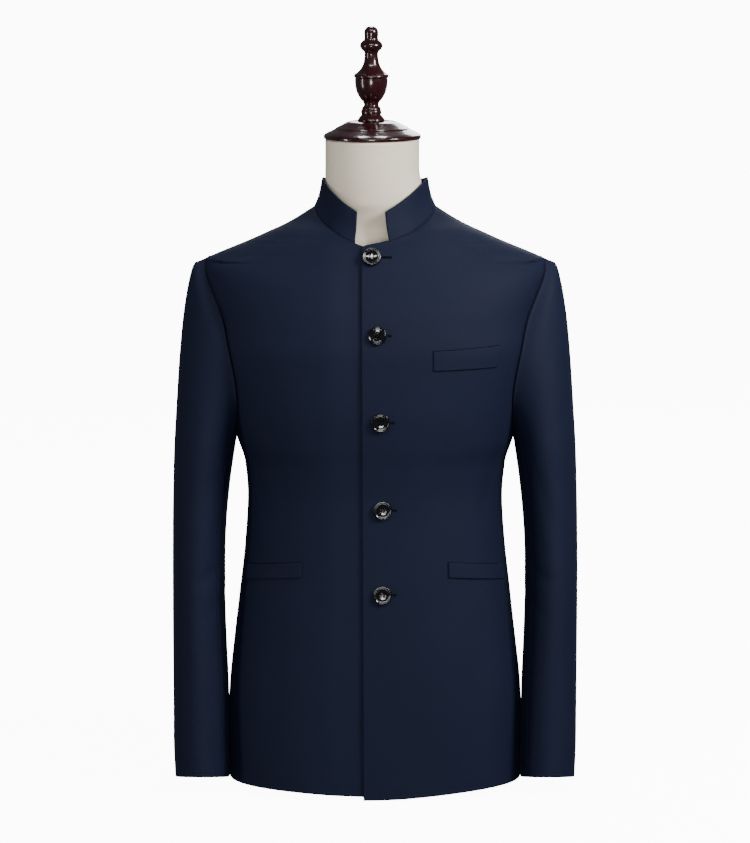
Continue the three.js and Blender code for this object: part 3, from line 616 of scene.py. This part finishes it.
def panel_piece(name, grid, side, seams, edges, folds, seed, dip=None):
    """Cuts, shapes and makes one panel. Its grid, seams and edges are given on the wearer's left."""
    points, faces = cut_armhole(grid)
    front, back, _ = armhole_loop()
    armhole = [skin_beside(line[:, 0], line[:, 1]) for line in (front, back)]
    seam = np.min([nearest_on(points, line)[0] for line in [*seams, *armhole]], axis=0)
    edge = np.min([nearest_on(points, line)[0] for line in edges], axis=0)
    sizes = np.stack([points[:, 0] * np.abs(skin_normal(points)[:, 1]) + points[:, 1], points[:, 2]], -1)
    points = points * [side, 1, 1]
    normals = skin_normal(points)
    height = (groove(seam, 0.7, 1.1) + uneven(points, 150, 0.35, seed)) * calm_at_tip(points)
    height = height + rolled(edge, 1.3) - shoulder_turn(points, seam)
    for path, depth, width in folds:
        height += soft_fold(points, skin_path(path, side), depth, width)
    if dip is not None:
        height += dip(points)
    points = points + normals * height[:, None]
    return cloth_piece(f"{name}_panel", points, faces, sizes, seam, [name])


def skin_path(path, side):
    """Points on the skin from their places across, on the wearer's left or right, and their heights."""
    return np.array([skin_across(side * x, z, y_side) for x, z, y_side in path])


back_levels = np.concatenate([np.arange(662, 702, LEVEL_STEP), neckline_levels(BACK_NECKLINE, 702.4)])


def back_centre(z):
    if z > BACK_NECKLINE[0][1]:
        return neckline_point(BACK_NECKLINE, 1, 1, z)
    return skin_across(0, z, 1)


def sewn_outside(outer):
    """The parts of a panel's outer edge that are sewn: the side seam and the shoulder seam."""
    return [outer[outer[:, 2] < UNDERARM_Z], outer[outer[:, 2] > SHOULDER_TIP_Z]]


def outline(grid):
    """A grid's four edges: the inner one, the outer one, the lowest row and the top row."""
    return grid[:, 0], grid[:, -1], grid[0], grid[-1]


back_grid = panel_grid(back_centre, HEM_SIDE_Z, back_levels)
inner, outer, hem, _ = outline(back_grid)
# Places across, heights and side of each soft fold, then how deep and how wide it is
BACK_FOLDS = [
    ([(150, 470, 1), (120, 430, 1), (80, 395, 1)], 1.6, 11),
    ([(165, 440, 1), (140, 400, 1), (110, 372, 1)], 1.3, 9),
    ([(20, 372, 1), (60, 364, 1), (110, 370, 1)], 1.0, 10),
    ([(60, 590, 1), (66, 520, 1), (62, 450, 1)], -1.2, 22),
    ([(95, 250, 1), (104, 150, 1), (108, 60, 1)], 1.4, 20),
    ([(45, 240, 1), (42, 150, 1), (40, 40, 1)], -1.2, 18),
    ([(150, 300, 1), (160, 200, 1), (164, 80, 1)], -0.9, 14),
]
for word, side, seed in (("left", 1, 11), ("right", -1, 12)):
    panel_piece(
        f"back_{word}", back_grid, side, [inner, *sewn_outside(outer)], [hem], BACK_FOLDS, seed,
    )


# The jacket's fronts: the left one laps over the right one and carries the buttonholes.
# Each has a dart from under the chest to the hip pocket.
FRONT_EDGE = (-17, -14.3, 0.5)
UNDER_EDGE = (28.2, 28.2, 3.8)
LAP_GAP = 1.2
LAP_RAMP = (-60, -20)
UPPER_NECKLINE = [(54.2, 690.7), (66, 699.6), (71.4, 705.6), (74, 711.4)]
LEFT_NECKLINE = [(-13.1, 669.5), (-8, 671.7), (20.5, 677.4), (39.8, 684.1), *UPPER_NECKLINE]
RIGHT_NECKLINE = [(-31.5, 667.5), (0, 669.5), (8.1, 671.5), (20.8, 675.8), (39.8, 683.4), *UPPER_NECKLINE]


def lap_dip(p):
    """The right front dips under the left one along the lap."""
    start, end = LAP_RAMP
    return -(CLOTH_WALL + LAP_GAP) * smooth_step((p[..., 0] - start) / (end - start))


def front_edge_point(edge, table, side, z):
    """The inner edge of a front: the straight front edge, then the neckline."""
    top_x, bottom_x, bottom_z = edge
    if z > table[0][1]:
        return neckline_point(table, side, -1, z)
    share = (z - bottom_z) / (table[0][1] - bottom_z)
    return skin_across(bottom_x + (top_x - bottom_x) * share, z, -1)


FRONT_FOLDS = [
    ([(110, 500, -1), (113, 400, -1), (116, 292, -1)], 0.55, 3.5),
    ([(146, 430, -1), (138, 380, -1), (126, 330, -1)], 0.9, 10),
    ([(60, 230, -1), (66, 150, -1), (70, 40, -1)], -0.6, 22),
    ([(120, 230, -1), (128, 130, -1), (132, 30, -1)], 0.8, 20),
]
FRONTS = [
    ("left", 1, FRONT_EDGE, LEFT_NECKLINE, None, 21),
    ("right", -1, UNDER_EDGE, RIGHT_NECKLINE, lap_dip, 22),
]
for word, side, edge, table, dip, seed in FRONTS:
    def edge_point(z):
        return front_edge_point(edge, table, side, z) * [side, 1, 1]

    levels = neckline_levels(table, table[0][1])
    grid = panel_grid(edge_point, edge[2], levels)
    inner, outer, hem, _ = outline(grid)
    opening = inner[:, 2] <= table[0][1]
    panel_piece(
        f"front_{word}", grid, side,
        [inner[~opening], *sewn_outside(outer)],
        [hem, inner[opening]], FRONT_FOLDS, seed, dip,
    )


# The sleeves: two pieces each, a wide top piece and a narrow under one, eased into the armhole.
# The head stands a little proud of the shoulder, and the cuff is plain.
SLEEVE_TOP_Z = 420
# From the armhole to the arm: how far out and down over the top, and how far of both under the arm
SLEEVE_HEAD = np.array([
    (0, 0, 0), (0.19, 0.0125, 0.1), (0.32, 0.021, 0.18), (0.385, 0.04, 0.25), (0.445, 0.071, 0.32),
    (0.52, 0.125, 0.4), (0.6, 0.195, 0.5), (0.72, 0.336, 0.62), (0.84, 0.55, 0.77), (0.92, 0.76, 0.88),
    (1, 1, 1),
])
# Height, middle across and in depth, half width and half depth
SLEEVE = [
    (420, 207.4, -4, 37.4, 68), (400, 209, -4, 36.3, 67), (380, 210.95, -4.5, 35.15, 66.5),
    (340, 213.5, -6, 33.5, 65.5), (301, 214.9, -8, 32.4, 64.5), (240, 215.15, -13, 32.25, 62),
    (182, 214.2, -19, 33.1, 59.5), (122, 212.65, -26, 34.05, 57), (62, 212.05, -33, 34.1, 54.5),
    (30, 211.8, -36.5, 34.1, 53.5), (12, 210.9, -38, 33.2, 53),
]
CUFF_Z, CUFF_Y, CUFF_TILT = 13.5, -38, 0.182
SLEEVE_ROWS, SLEEVE_ALONG = 10, 118
SLEEVE_AXIS_X = 212
SLEEVE_ACROSS = {"top": 62, "under": 34}
# The seam allowance of the head: how far back under the panel and how far in from the seam
ALLOWANCE = [(4.6, 3.4), (2.4, 3.2), (0.9, 2.5), (0.2, 1.2)]


def sleeve_point(degrees, share):
    """The sleeve's point at a turn round the arm: 0 is the outside, 90 the front and 180 the inside."""
    angle = np.radians(degrees)
    level = SLEEVE_TOP_Z + (CUFF_Z - SLEEVE_TOP_Z) * share
    x, y, half, depth = (read_curve(SLEEVE, level, c) for c in (1, 2, 3, 4))
    y = y - depth * np.sin(angle)
    end = CUFF_Z - CUFF_TILT * (y - CUFF_Y)
    return np.stack([x + half * np.cos(angle), y, SLEEVE_TOP_Z + (end - SLEEVE_TOP_Z) * share], -1)


front_loop, back_loop, _ = armhole_loop()
armhole_front = skin_beside(front_loop[:, 0], front_loop[:, 1])
armhole_back = skin_beside(back_loop[:, 0], back_loop[:, 1])


def sleeve_line(turn):
    """A lengthwise line of the sleeve: turn is 0 at the underarm and 1 at the shoulder, and 2 is 0 again."""
    degrees = 180 - 180 * turn
    in_front = 0 <= turn <= 1
    line, share = (armhole_front, turn) if in_front else (armhole_back, (2 - turn) % 2)
    seam = at_shares(line, [share])[0]
    arm = sleeve_point(degrees, np.zeros(1))[0]
    over = (0.5 + 0.5 * np.cos(np.radians(degrees))) ** 0.7
    out = over * SLEEVE_HEAD[:, 0] + (1 - over) * SLEEVE_HEAD[:, 2]
    down = over * SLEEVE_HEAD[:, 1] + (1 - over) * SLEEVE_HEAD[:, 2]
    head = seam + (arm - seam) * np.stack([out, out, down], -1)
    tube = sleeve_point(degrees, np.arange(1, SLEEVE_ROWS + 1) / SLEEVE_ROWS)
    full = spline(np.vstack([head, tube]), 8)
    run = lengths(full)[-1]
    return at_shares(full, spread(run, SLEEVE_ALONG) / run)


def grid_normals(grid, middle_x):
    across, up = np.gradient(grid, axis=1), np.gradient(grid, axis=0)
    facing = unit(np.cross(across, up))
    outward = grid - [middle_x, 0, 0]
    outward[..., 2] = 0
    return facing * np.sign(np.sum(facing * outward))


def edge_distances(grid):
    """Each point's distance to the first and last column and to the first and last row, along the cloth."""
    def runs(lines):
        run = np.cumsum(np.linalg.norm(np.diff(lines, axis=1, prepend=lines[:, :1]), axis=-1), axis=1)
        return run, run[:, -1:] - run
    left, right = runs(grid)
    low, high = (r.T for r in runs(grid.transpose(1, 0, 2)))
    return left, right, low, high


def with_allowance(line):
    """A sleeve line with its seam allowance turned in under the panel."""
    inward = -skin_normal(line[0])
    back = line[0] - line[4]
    back = unit(back - inward * (back @ inward))
    return np.vstack([[line[0] + back * under + inward * depth for under, depth in ALLOWANCE], line])


front_seam_turn = nearest_on(np.array([skin_beside(-40.0, 449.0)]), armhole_front)[2][0]
back_seam_turn = nearest_on(np.array([skin_beside(67.0, 512.0)]), armhole_back)[2][0]
TURNS = {"top": (front_seam_turn, 2 - back_seam_turn), "under": (-back_seam_turn, front_seam_turn)}
ARMHOLE_LENGTH = lengths(armhole_front)[-1]
# Turns round the arm and shares of its length for each soft fold, then how deep and how wide it is
SLEEVE_FOLDS = [
    ([(0.35, 0.05), (0.5, 0.2), (0.62, 0.34)], 1.3, 9),
    ([(0.1, 0.3), (0.35, 0.38), (0.6, 0.4)], 1.4, 8),
    ([(-0.1, 0.44), (0.2, 0.46), (0.5, 0.52)], 1.0, 8),
    ([(0.5, 0.1), (0.56, 0.45), (0.52, 0.85)], -1.6, 15),
    ([(1.45, 0.1), (1.5, 0.4), (1.48, 0.8)], -1.2, 15),
    ([(1.2, 0.36), (1.45, 0.42), (1.75, 0.4)], 1.2, 9),
    ([(1.5, 0.02), (1.62, 0.14), (1.8, 0.24)], 1.4, 10),
]
for part, (first, last) in TURNS.items():
    length = (last - first) * ARMHOLE_LENGTH
    turns = first + spread(length, SLEEVE_ACROSS[part]) / ARMHOLE_LENGTH
    beyond = 0.5 / ARMHOLE_LENGTH
    lines = [sleeve_line(t) for t in (first - beyond, *turns, last + beyond)]
    runs = edge_distances(np.array(lines[1:-1]).transpose(1, 0, 2))
    left, right, head, cuff = (np.pad(run, ((len(ALLOWANCE), 0), (0, 0)), mode="edge") for run in runs)
    grid = np.array([with_allowance(line) for line in lines]).transpose(1, 0, 2)
    seam = np.minimum(np.minimum(left, right), head)
    sizes = np.stack([left, -head], -1)
    for word, side, seed in (("left", 1, 31), ("right", -1, 32)):
        normals = grid_normals(grid * [side, 1, 1], side * SLEEVE_AXIS_X)[:, 1:-1]
        points = grid[:, 1:-1] * [side, 1, 1]
        flat = points.reshape(-1, 3)
        pressed_edge = groove(seam, 0.6, 1.0) - groove(head - 2.2, 0.8, 1.1)
        height = (pressed_edge.ravel() + uneven(flat, 120, 0.4, seed)) * calm_at_tip(flat)
        height += rolled(cuff, 1.3).ravel()
        for path, depth, width in SLEEVE_FOLDS:
            places = [sleeve_point(180 - 180 * turn, np.array([share]))[0] * [side, 1, 1]
                      for turn, share in path]
            height += soft_fold(flat, places, depth, width)
        points = flat + normals.reshape(-1, 3) * height[:, None]
        node = f"sleeve_{part}_{word}"
        cloth_piece(f"{node}_cloth", points, grid_faces(*seam.shape), sizes.reshape(-1, 2),
                    seam.ravel(), [node], middle_x=side * SLEEVE_AXIS_X)


# The stand collar: one stiff band of wool over canvas, sewn round the neckline with its ends apart.
# It leans in towards the neck, and wool faces it inside too.
COLLAR_WALL = 2.6
COLLAR_END_Z = {1: 677.4, -1: 675.8}
RIM_SHIFT = -5
COLLAR_TOP = [(0, 62, 738), (24, 58.5, 738.6), (46, 46, 740.4), (60, 24, 743.6), (64.2, 0, 746.5),
              (57.5, -25, 739.1), (48, -42, 731.1), (33.4, -57, 720.4), (17.2, -66, 710.8)]
COLLAR_RISE = [(0, 0), (0.4, 0.58), (1, 1)]
COLLAR_COLUMNS, COLLAR_ROWS = 190, 14
COLLAR_HEIGHT = 48


def side_dip(p, side):
    """How far what is sewn to a front dips with it: only the right one does."""
    return lap_dip(p) if side < 0 else np.zeros(p.shape[:-1])


def collar_half(side, table):
    """The foot and the rim of half of the collar, from the centre of the back round to its front end."""
    back = [neckline_point(BACK_NECKLINE, side, 1, z) for z in neckline_levels(BACK_NECKLINE, 702.4)]
    front = [neckline_point(table, side, -1, z) for z in neckline_levels(table, COLLAR_END_Z[side])[::-1]]
    foot = np.array([*back, (side * NECK_POINT[0], 0, NECK_POINT[1]), *front])
    dip = np.where(foot[:, 1] < 0, side_dip(foot, side), 0)
    foot = foot + skin_normal(foot) * dip[:, None]
    shifts = [RIM_SHIFT * (1 - (x / NECK_POINT[0]) ** 2) if y < 0 else 0 for x, y, _ in COLLAR_TOP]
    rim = spline([(side * x + shift, y, z) for (x, y, z), shift in zip(COLLAR_TOP, shifts)], 24)
    return foot, at_shares(rim, lengths(foot) / lengths(foot)[-1])


halves = [collar_half(-1, RIGHT_NECKLINE), collar_half(1, LEFT_NECKLINE)]
foot, rim = (np.vstack([right[::-1], left[1:]]) for right, left in zip(*halves))
around = lengths(foot)
shares = spread(around[-1], COLLAR_COLUMNS)
foot, rim = (np.stack([np.interp(shares, around, line[:, k]) for k in range(3)], -1) for line in (foot, rim))
rise = spread(COLLAR_HEIGHT, COLLAR_ROWS) / COLLAR_HEIGHT
lean = read_curve(COLLAR_RISE, rise, 1)
step = rim - foot
grid = foot + np.stack([step[None, :, 0] * lean[:, None], step[None, :, 1] * lean[:, None],
                        step[None, :, 2] * rise[:, None]], -1)
left, right, low, high = edge_distances(grid)
# The foot reaches down into the seam.
grid[..., 2] -= 1.1 * np.exp(-(low / 1.4) ** 2)
free = np.minimum(np.minimum(left, right), high)
height = rolled(free, 1.5)
points = (grid + grid_normals(grid, 0) * height[..., None]).reshape(-1, 3)
sizes = np.stack([left, low], -1).reshape(-1, 2)
cloth_piece("stand_collar", points, grid_faces(*grid.shape[:2]), sizes, low.ravel(), ["collar"],
            wall=COLLAR_WALL, lined=False)


# The pocket welts: a slanting one on the left chest and one on each hip, folded wool let into the fronts.
# A dark cord of navy silk along each mouth is painted shade for the pocket's opening, and stitches of silk
# thread tack the ends down.
WELT_GAP, WELT_WALL = 0.6, 1.3
MOUTH_SHADE_WIDTH = 0.95
TACK_WIDTH, TACK_HEIGHT, TACK_SHARES, TACK_REACH = 0.6, 0.3, (0.04, 0.96), (-1.3, 0.5)
HIP_CUT = ((0.125, 0.02), 0.0024)
CHEST_WELT = [[(67.4, -116, 524.2), (145.4, -90, 525.7)], [(67.4, -116, 547.8), (150.1, -88, 551.7)]]
HIP_WELT = [[(87.6, -105, 271.8), (154, -46, 261)], [(87.6, -105, 290.3), (153.5, -46, 279.4)]]
WELTS = [
    ("chest_welt", CHEST_WELT, 1, ((0.09, 0.027), 0.0022)),
    ("hip_welt_left", HIP_WELT, 1, HIP_CUT),
    ("hip_welt_right", HIP_WELT, -1, HIP_CUT),
]


def silk_look():
    look = Look("navy_silk")
    twist = look.grain("Object", (3000, 3000, 3000), 2.0)
    return look.surface(
        Base_Color=look.mix(twist, colour(0.0012, 0.0018, 0.004), colour(0.004, 0.006, 0.012)),
        Roughness=0.6 + twist * 0.2,
        Normal=look.bump(twist, 0.02),
        Specular_IOR_Level=0.12,
    )


SILK = silk_look()


def thread(start, end, up, width, height, sides=8, rings=5):
    """Points and faces of one stitch: a short bow of thread that sinks into the cloth at both ends."""
    t = np.linspace(0, 1, rings)
    bow = np.sin(np.pi * t)
    across = np.cross(unit(end - start), up)
    angle = full_turn(sides)
    middle = start + (end - start) * t[:, None] + up * (bow * height - 0.1)[:, None]
    size = width / 2 * (0.55 + 0.45 * bow)
    ring = np.cos(angle)[:, None] * across + np.sin(angle)[:, None] * up
    return rings_body(middle[:, None] + ring[None] * size[:, None, None])


def joined(parts):
    """Several bodies as one list of points and one of faces."""
    points, faces, count = [], [], 0
    for part_points, part_faces in parts:
        points.append(part_points)
        faces += [tuple(int(i) + count for i in face) for face in part_faces]
        count += len(part_points)
    return np.vstack(points), faces


def cord_body(path, width, sides=8):
    """Points and faces of a fine cord of thread along a path."""
    along = unit(np.gradient(path, axis=0))
    across = unit(np.cross(along, [0, 0, 1.0]))
    rise = np.cross(across, along)
    angle = full_turn(sides)[None, :, None]
    ring = np.cos(angle) * across[:, None] + np.sin(angle) * rise[:, None]
    return rings_body(path[:, None] + ring * width / 2)


def on_skin(p):
    return skin_toward(np.arctan2(p[..., 1], p[..., 0]), p[..., 2])


for name, corners, side, cut in WELTS:
    corners = np.array(corners, float) * [side, 1, 1]
    long, tall = (np.linalg.norm(end - corners[0, 0]) for end in (corners[0, 1], corners[1, 0]))
    t, v = spread(long, 46) / long, spread(tall, 8) / tall
    low, high = (row[0] + (row[1] - row[0]) * t[:, None] for row in corners)
    grid = on_skin(low[None] + (high - low)[None] * v[:, None, None])
    left, right, bottom, top = edge_distances(grid)
    edge = np.minimum(np.minimum(left, right), np.minimum(bottom, top))
    lift = WELT_GAP + WELT_WALL + rolled(edge, 0.9) + side_dip(grid, side)
    points = (grid + skin_normal(grid) * lift[..., None]).reshape(-1, 3)
    # No seam lies near enough to a welt to press it or to darken it with painted seam shade.
    cloth_piece(f"{name}_fold", points, grid_faces(*grid.shape[:2]),
                np.stack([left, bottom], -1).reshape(-1, 2), edge.ravel() + 9, [name],
                wall=WELT_WALL, lined=False)
    along = np.linspace(0, 1, 60)[:, None]
    mouth = on_skin(corners[1, 0] + (corners[1, 1] - corners[1, 0]) * along + [0, 0, 0.35])
    mouth += skin_normal(mouth) * (0.2 + side_dip(mouth, side))[:, None]
    # The first body is a dark cord along the mouth: painted shade that stands in for the pocket's opening
    mouth_shade_and_tacks = [cord_body(mouth, MOUTH_SHADE_WIDTH)]
    for end, away in ((0, -1), (1, 1)):
        for share in TACK_SHARES:
            spot = corners[0, end] + (corners[1, end] - corners[0, end]) * share
            pair = on_skin(np.array([spot + [side * away * reach, 0, 0] for reach in TACK_REACH]))
            up = skin_normal(pair[0])
            dip = side_dip(pair[0], side)
            mouth_shade_and_tacks.append(thread(pair[0] + up * (dip + 2.0), pair[1] + up * (dip + 0.2), up,
                                TACK_WIDTH, TACK_HEIGHT))
    make_piece(f"{name}_tacks", *joined(mouth_shade_and_tacks), [SILK], "wool", [])


# The shoulder seams: the thread that joins each front to its back half, drawn down between them.
# It runs from the sleeve head up to the collar.
SEAM_THREAD, SEAM_THREAD_DEPTH = 1.0, 1.4
for word, side in (("left", 1), ("right", -1)):
    heights = np.linspace(SHOULDER_TIP_Z + 0.5, NECK_POINT[1] - 0.5, 80)
    line = np.stack([side * read_curve(JACKET, heights, 1), np.zeros_like(heights), heights], -1)
    line -= skin_normal(line) * SEAM_THREAD_DEPTH
    make_piece(f"shoulder_thread_{word}", *cord_body(line, SEAM_THREAD), [SILK], "wool", [])


# The buttonholes: slits across the left front, whipped with navy silk and barred at the outer end.
# Each button's shank comes up near the inner end.
BUTTONS = [(-3.8, 658), (2.7, 567), (6.6, 462.8), (9.2, 355.6), (8.8, 252.7)]
REACH = [23.5, 16.5, 16.5, 16.5, 16.5]
STITCH_PITCH, STITCH_HALF, STITCH_WIDTH = 0.62, 1.25, 0.62


def buttonhole(x, z, reach):
    """Stitches round a slit from just behind the shank to its bar tack."""
    inner, outer = x - 3, x + reach
    parts = []

    def spot(px, pz):
        base = skin_across(px, pz, -1)
        return base + skin_normal(base) * 0.12

    for px in np.arange(inner, outer - 1.6, STITCH_PITCH):
        middle = spot(px, z)
        up = skin_normal(middle)
        for direction in (1, -1):
            parts.append(thread(spot(px, z + 0.12 * direction), spot(px, z + STITCH_HALF * direction), up,
                                STITCH_WIDTH, 0.34))
    for k in range(5):
        px = outer - 1.5 + 0.42 * k
        up = skin_normal(spot(px, z))
        parts.append(thread(spot(px, z - 1.7), spot(px, z + 1.7), up, 0.55, 0.55, rings=7))
    return joined(parts)


for k, ((x, z), reach) in enumerate(zip(BUTTONS, REACH), 1):
    make_piece(f"buttonhole_{k}", *buttonhole(x, z, reach), [SILK], "wool", [])


# The buttons: polished black horn, four holes in a dished middle inside a turned rim.
# Each is sewn through the right front and comes up through its buttonhole, and it stays fastened.
BUTTON_GAP, BUTTON_RADIUS = 0.8, 11.4
HOLE_SPREAD, HOLE_RADIUS = 2.2, 1.05
# Distance from the middle and height of the button's face
BUTTON_FACE = [(0, 1.95), (3.2, 1.98), (5, 2.12), (6.6, 2.4), (7.6, 2.72), (8.1, 2.78), (8.5, 2.66),
               (8.9, 2.7), (9.4, 3.08), (10, 3.36), (10.4, 3.34), (10.9, 2.9), (11.25, 2.1), (11.4, 1.3)]
BUTTON_UNDER = [(8.6, 0), (9.6, 0.05), (10.6, 0.3), (11.2, 0.75)]
BUTTON_RINGS, BUTTON_FACETS = 84, 96
HOLE_DEPTH, STRAND_Z = 1.75, 1.75


def horn_look():
    look = Look("polished_horn")
    cloud = look.grain("Object", (420, 420, 160), 3.0)
    scratch = look.grain("Object", (5200, 900, 900), 2.0)
    black, grey = colour(0.0016, 0.0018, 0.0022), colour(0.009, 0.0088, 0.009)
    return look.surface(
        Base_Color=look.mix((cloud - 0.4) * 1.8, black, grey),
        Roughness=0.07 + scratch * 0.05,
        Coat_Weight=0.5,
        Coat_Roughness=0.03,
    )


HORN = horn_look()


def button_body():
    """The button about its own axis, face up, with its holes sunk through the dished middle."""
    radius = np.interp(np.linspace(0, 1, BUTTON_RINGS), [0, 0.5, 1], [0.15, 5.2, BUTTON_RADIUS])
    angle = full_turn(BUTTON_FACETS)
    x, y = radius[:, None] * np.cos(angle), radius[:, None] * np.sin(angle)
    face = np.repeat(read_curve(BUTTON_FACE, radius, 1)[:, None], BUTTON_FACETS, 1)
    hole = np.hypot(np.abs(x) - HOLE_SPREAD, np.abs(y) - HOLE_SPREAD)
    face -= HOLE_DEPTH * smooth_step((HOLE_RADIUS + 0.3 - hole) / 0.5)
    top = np.stack([x, y, face], -1)[::-1]
    around, height = np.array(BUTTON_UNDER).T
    return rings_body(np.concatenate([oval_rings(around, around, height, BUTTON_FACETS), top]))


def placed(points, seat, normal):
    """Points about the Z axis, moved to a seat and turned to face along its normal."""
    side = unit(np.cross([0, 0, 1], normal))
    frame_axes = np.stack([side, np.cross(normal, side), normal])
    return seat + points @ frame_axes


button_points, button_faces = button_body()
for k, (x, z) in enumerate(BUTTONS, 1):
    seat = skin_across(x, z, -1)
    normal = skin_normal(seat)
    seat = seat + normal * BUTTON_GAP
    points = placed(button_points, seat, normal)
    make_piece(f"horn_button_{k}", points, button_faces, [HORN], "horn", [f"button_{k}"])
    up = np.array([0, 0, 1.0])
    strands = []
    for hx in (-HOLE_SPREAD, HOLE_SPREAD):
        for offset in (-0.34, 0, 0.34):
            low, high = (np.array([hx + offset, s * HOLE_SPREAD, STRAND_Z]) for s in (-1, 1))
            strands.append(thread(low, high, up, 0.42, 0.75, rings=9))
    points, faces = joined(strands)
    make_piece(f"button_thread_{k}", placed(points, seat, normal), faces, [SILK], "wool", [])


# The studio: a plain pale floor that curves up all round, and soft lights on every side and above.
# The camera stands far off and a little above, as for a catalogue picture.
def sweep():
    look = Look("pale_sweep")
    grain = look.grain("Object", (3, 3, 3), 2.0)
    paper = look.surface(
        Base_Color=look.mix(grain, colour(0.88, 0.88, 0.88), colour(0.92, 0.92, 0.92)),
        Roughness=0.9,
        Emission_Color=colour(1, 1, 1),
        Emission_Strength=11.0,
    )
    bend = np.radians(np.linspace(0, 90, 13))
    floor_radius, curve, rim_height, facets = 12.0, 2.0, 10.0, 64
    line = np.array([(0.01, 0), *zip(floor_radius + curve * np.sin(bend), curve - curve * np.cos(bend)),
                     (floor_radius + curve, rim_height)])
    points = oval_rings(line[:, 0], line[:, 0], line[:, 1], facets).reshape(-1, 3)
    faces = [*grid_faces(len(line), facets, closed=True).tolist(), list(range(facets))]
    mesh = bpy.data.meshes.new("sweep")
    mesh.from_pydata(points.tolist(), [], faces)
    mesh.shade_smooth()
    mesh.materials.append(paper)
    floor = bpy.data.objects.new("sweep", mesh)
    bpy.context.collection.objects.link(floor)
    floor.visible_glossy = False
    floor.visible_diffuse = False


sweep()
# Name, place, width, height and power of each soft light
LIGHTS = [
    ("key", (1.75, -1.2, 1.75), 0.7, 0.7, 62),
    ("front", (-0.1, -4.4, 0.35), 1.0, 1.0, 54),
    ("left_fill", (-2.4, -1.1, 0.55), 0.35, 1.3, 15),
    ("strip", (0.1, -1.9, 2.5), 2.2, 0.15, 26),
    ("top", (0, 0.62, 2.2), 0.6, 0.25, 10),
    ("back", (0.5, 3.2, 2.0), 1.6, 1.6, 48),
]
LIGHT_TARGET = Vector((0, 0, 0.5))
for name, place, width, height, power in LIGHTS:
    data = bpy.data.lights.new(name, "AREA")
    data.shape, data.size, data.size_y, data.energy = "RECTANGLE", width, height, power
    lamp = bpy.data.objects.new(name, data)
    lamp.location = place
    lamp.rotation_euler = (LIGHT_TARGET - Vector(place)).to_track_quat("-Z", "Y").to_euler()
    bpy.context.collection.objects.link(lamp)

world = bpy.data.worlds.new("studio_air")
world.use_nodes = True
world.node_tree.nodes["Background"].inputs["Color"].default_value = colour(0.9, 0.93, 1.0)
world.node_tree.nodes["Background"].inputs["Strength"].default_value = 0.1
bpy.context.scene.world = world

camera_data = bpy.data.cameras.new("camera")
camera_data.lens = 227.5
camera_data.clip_end = 30
camera = bpy.data.objects.new("camera", camera_data)
camera.location = (0, -6.4399, 1.3295)
camera.rotation_euler = (Vector((0, 0, 0.4473)) - camera.location).to_track_quat("-Z", "Y").to_euler()
bpy.context.collection.objects.link(camera)
bpy.context.scene.camera = camera
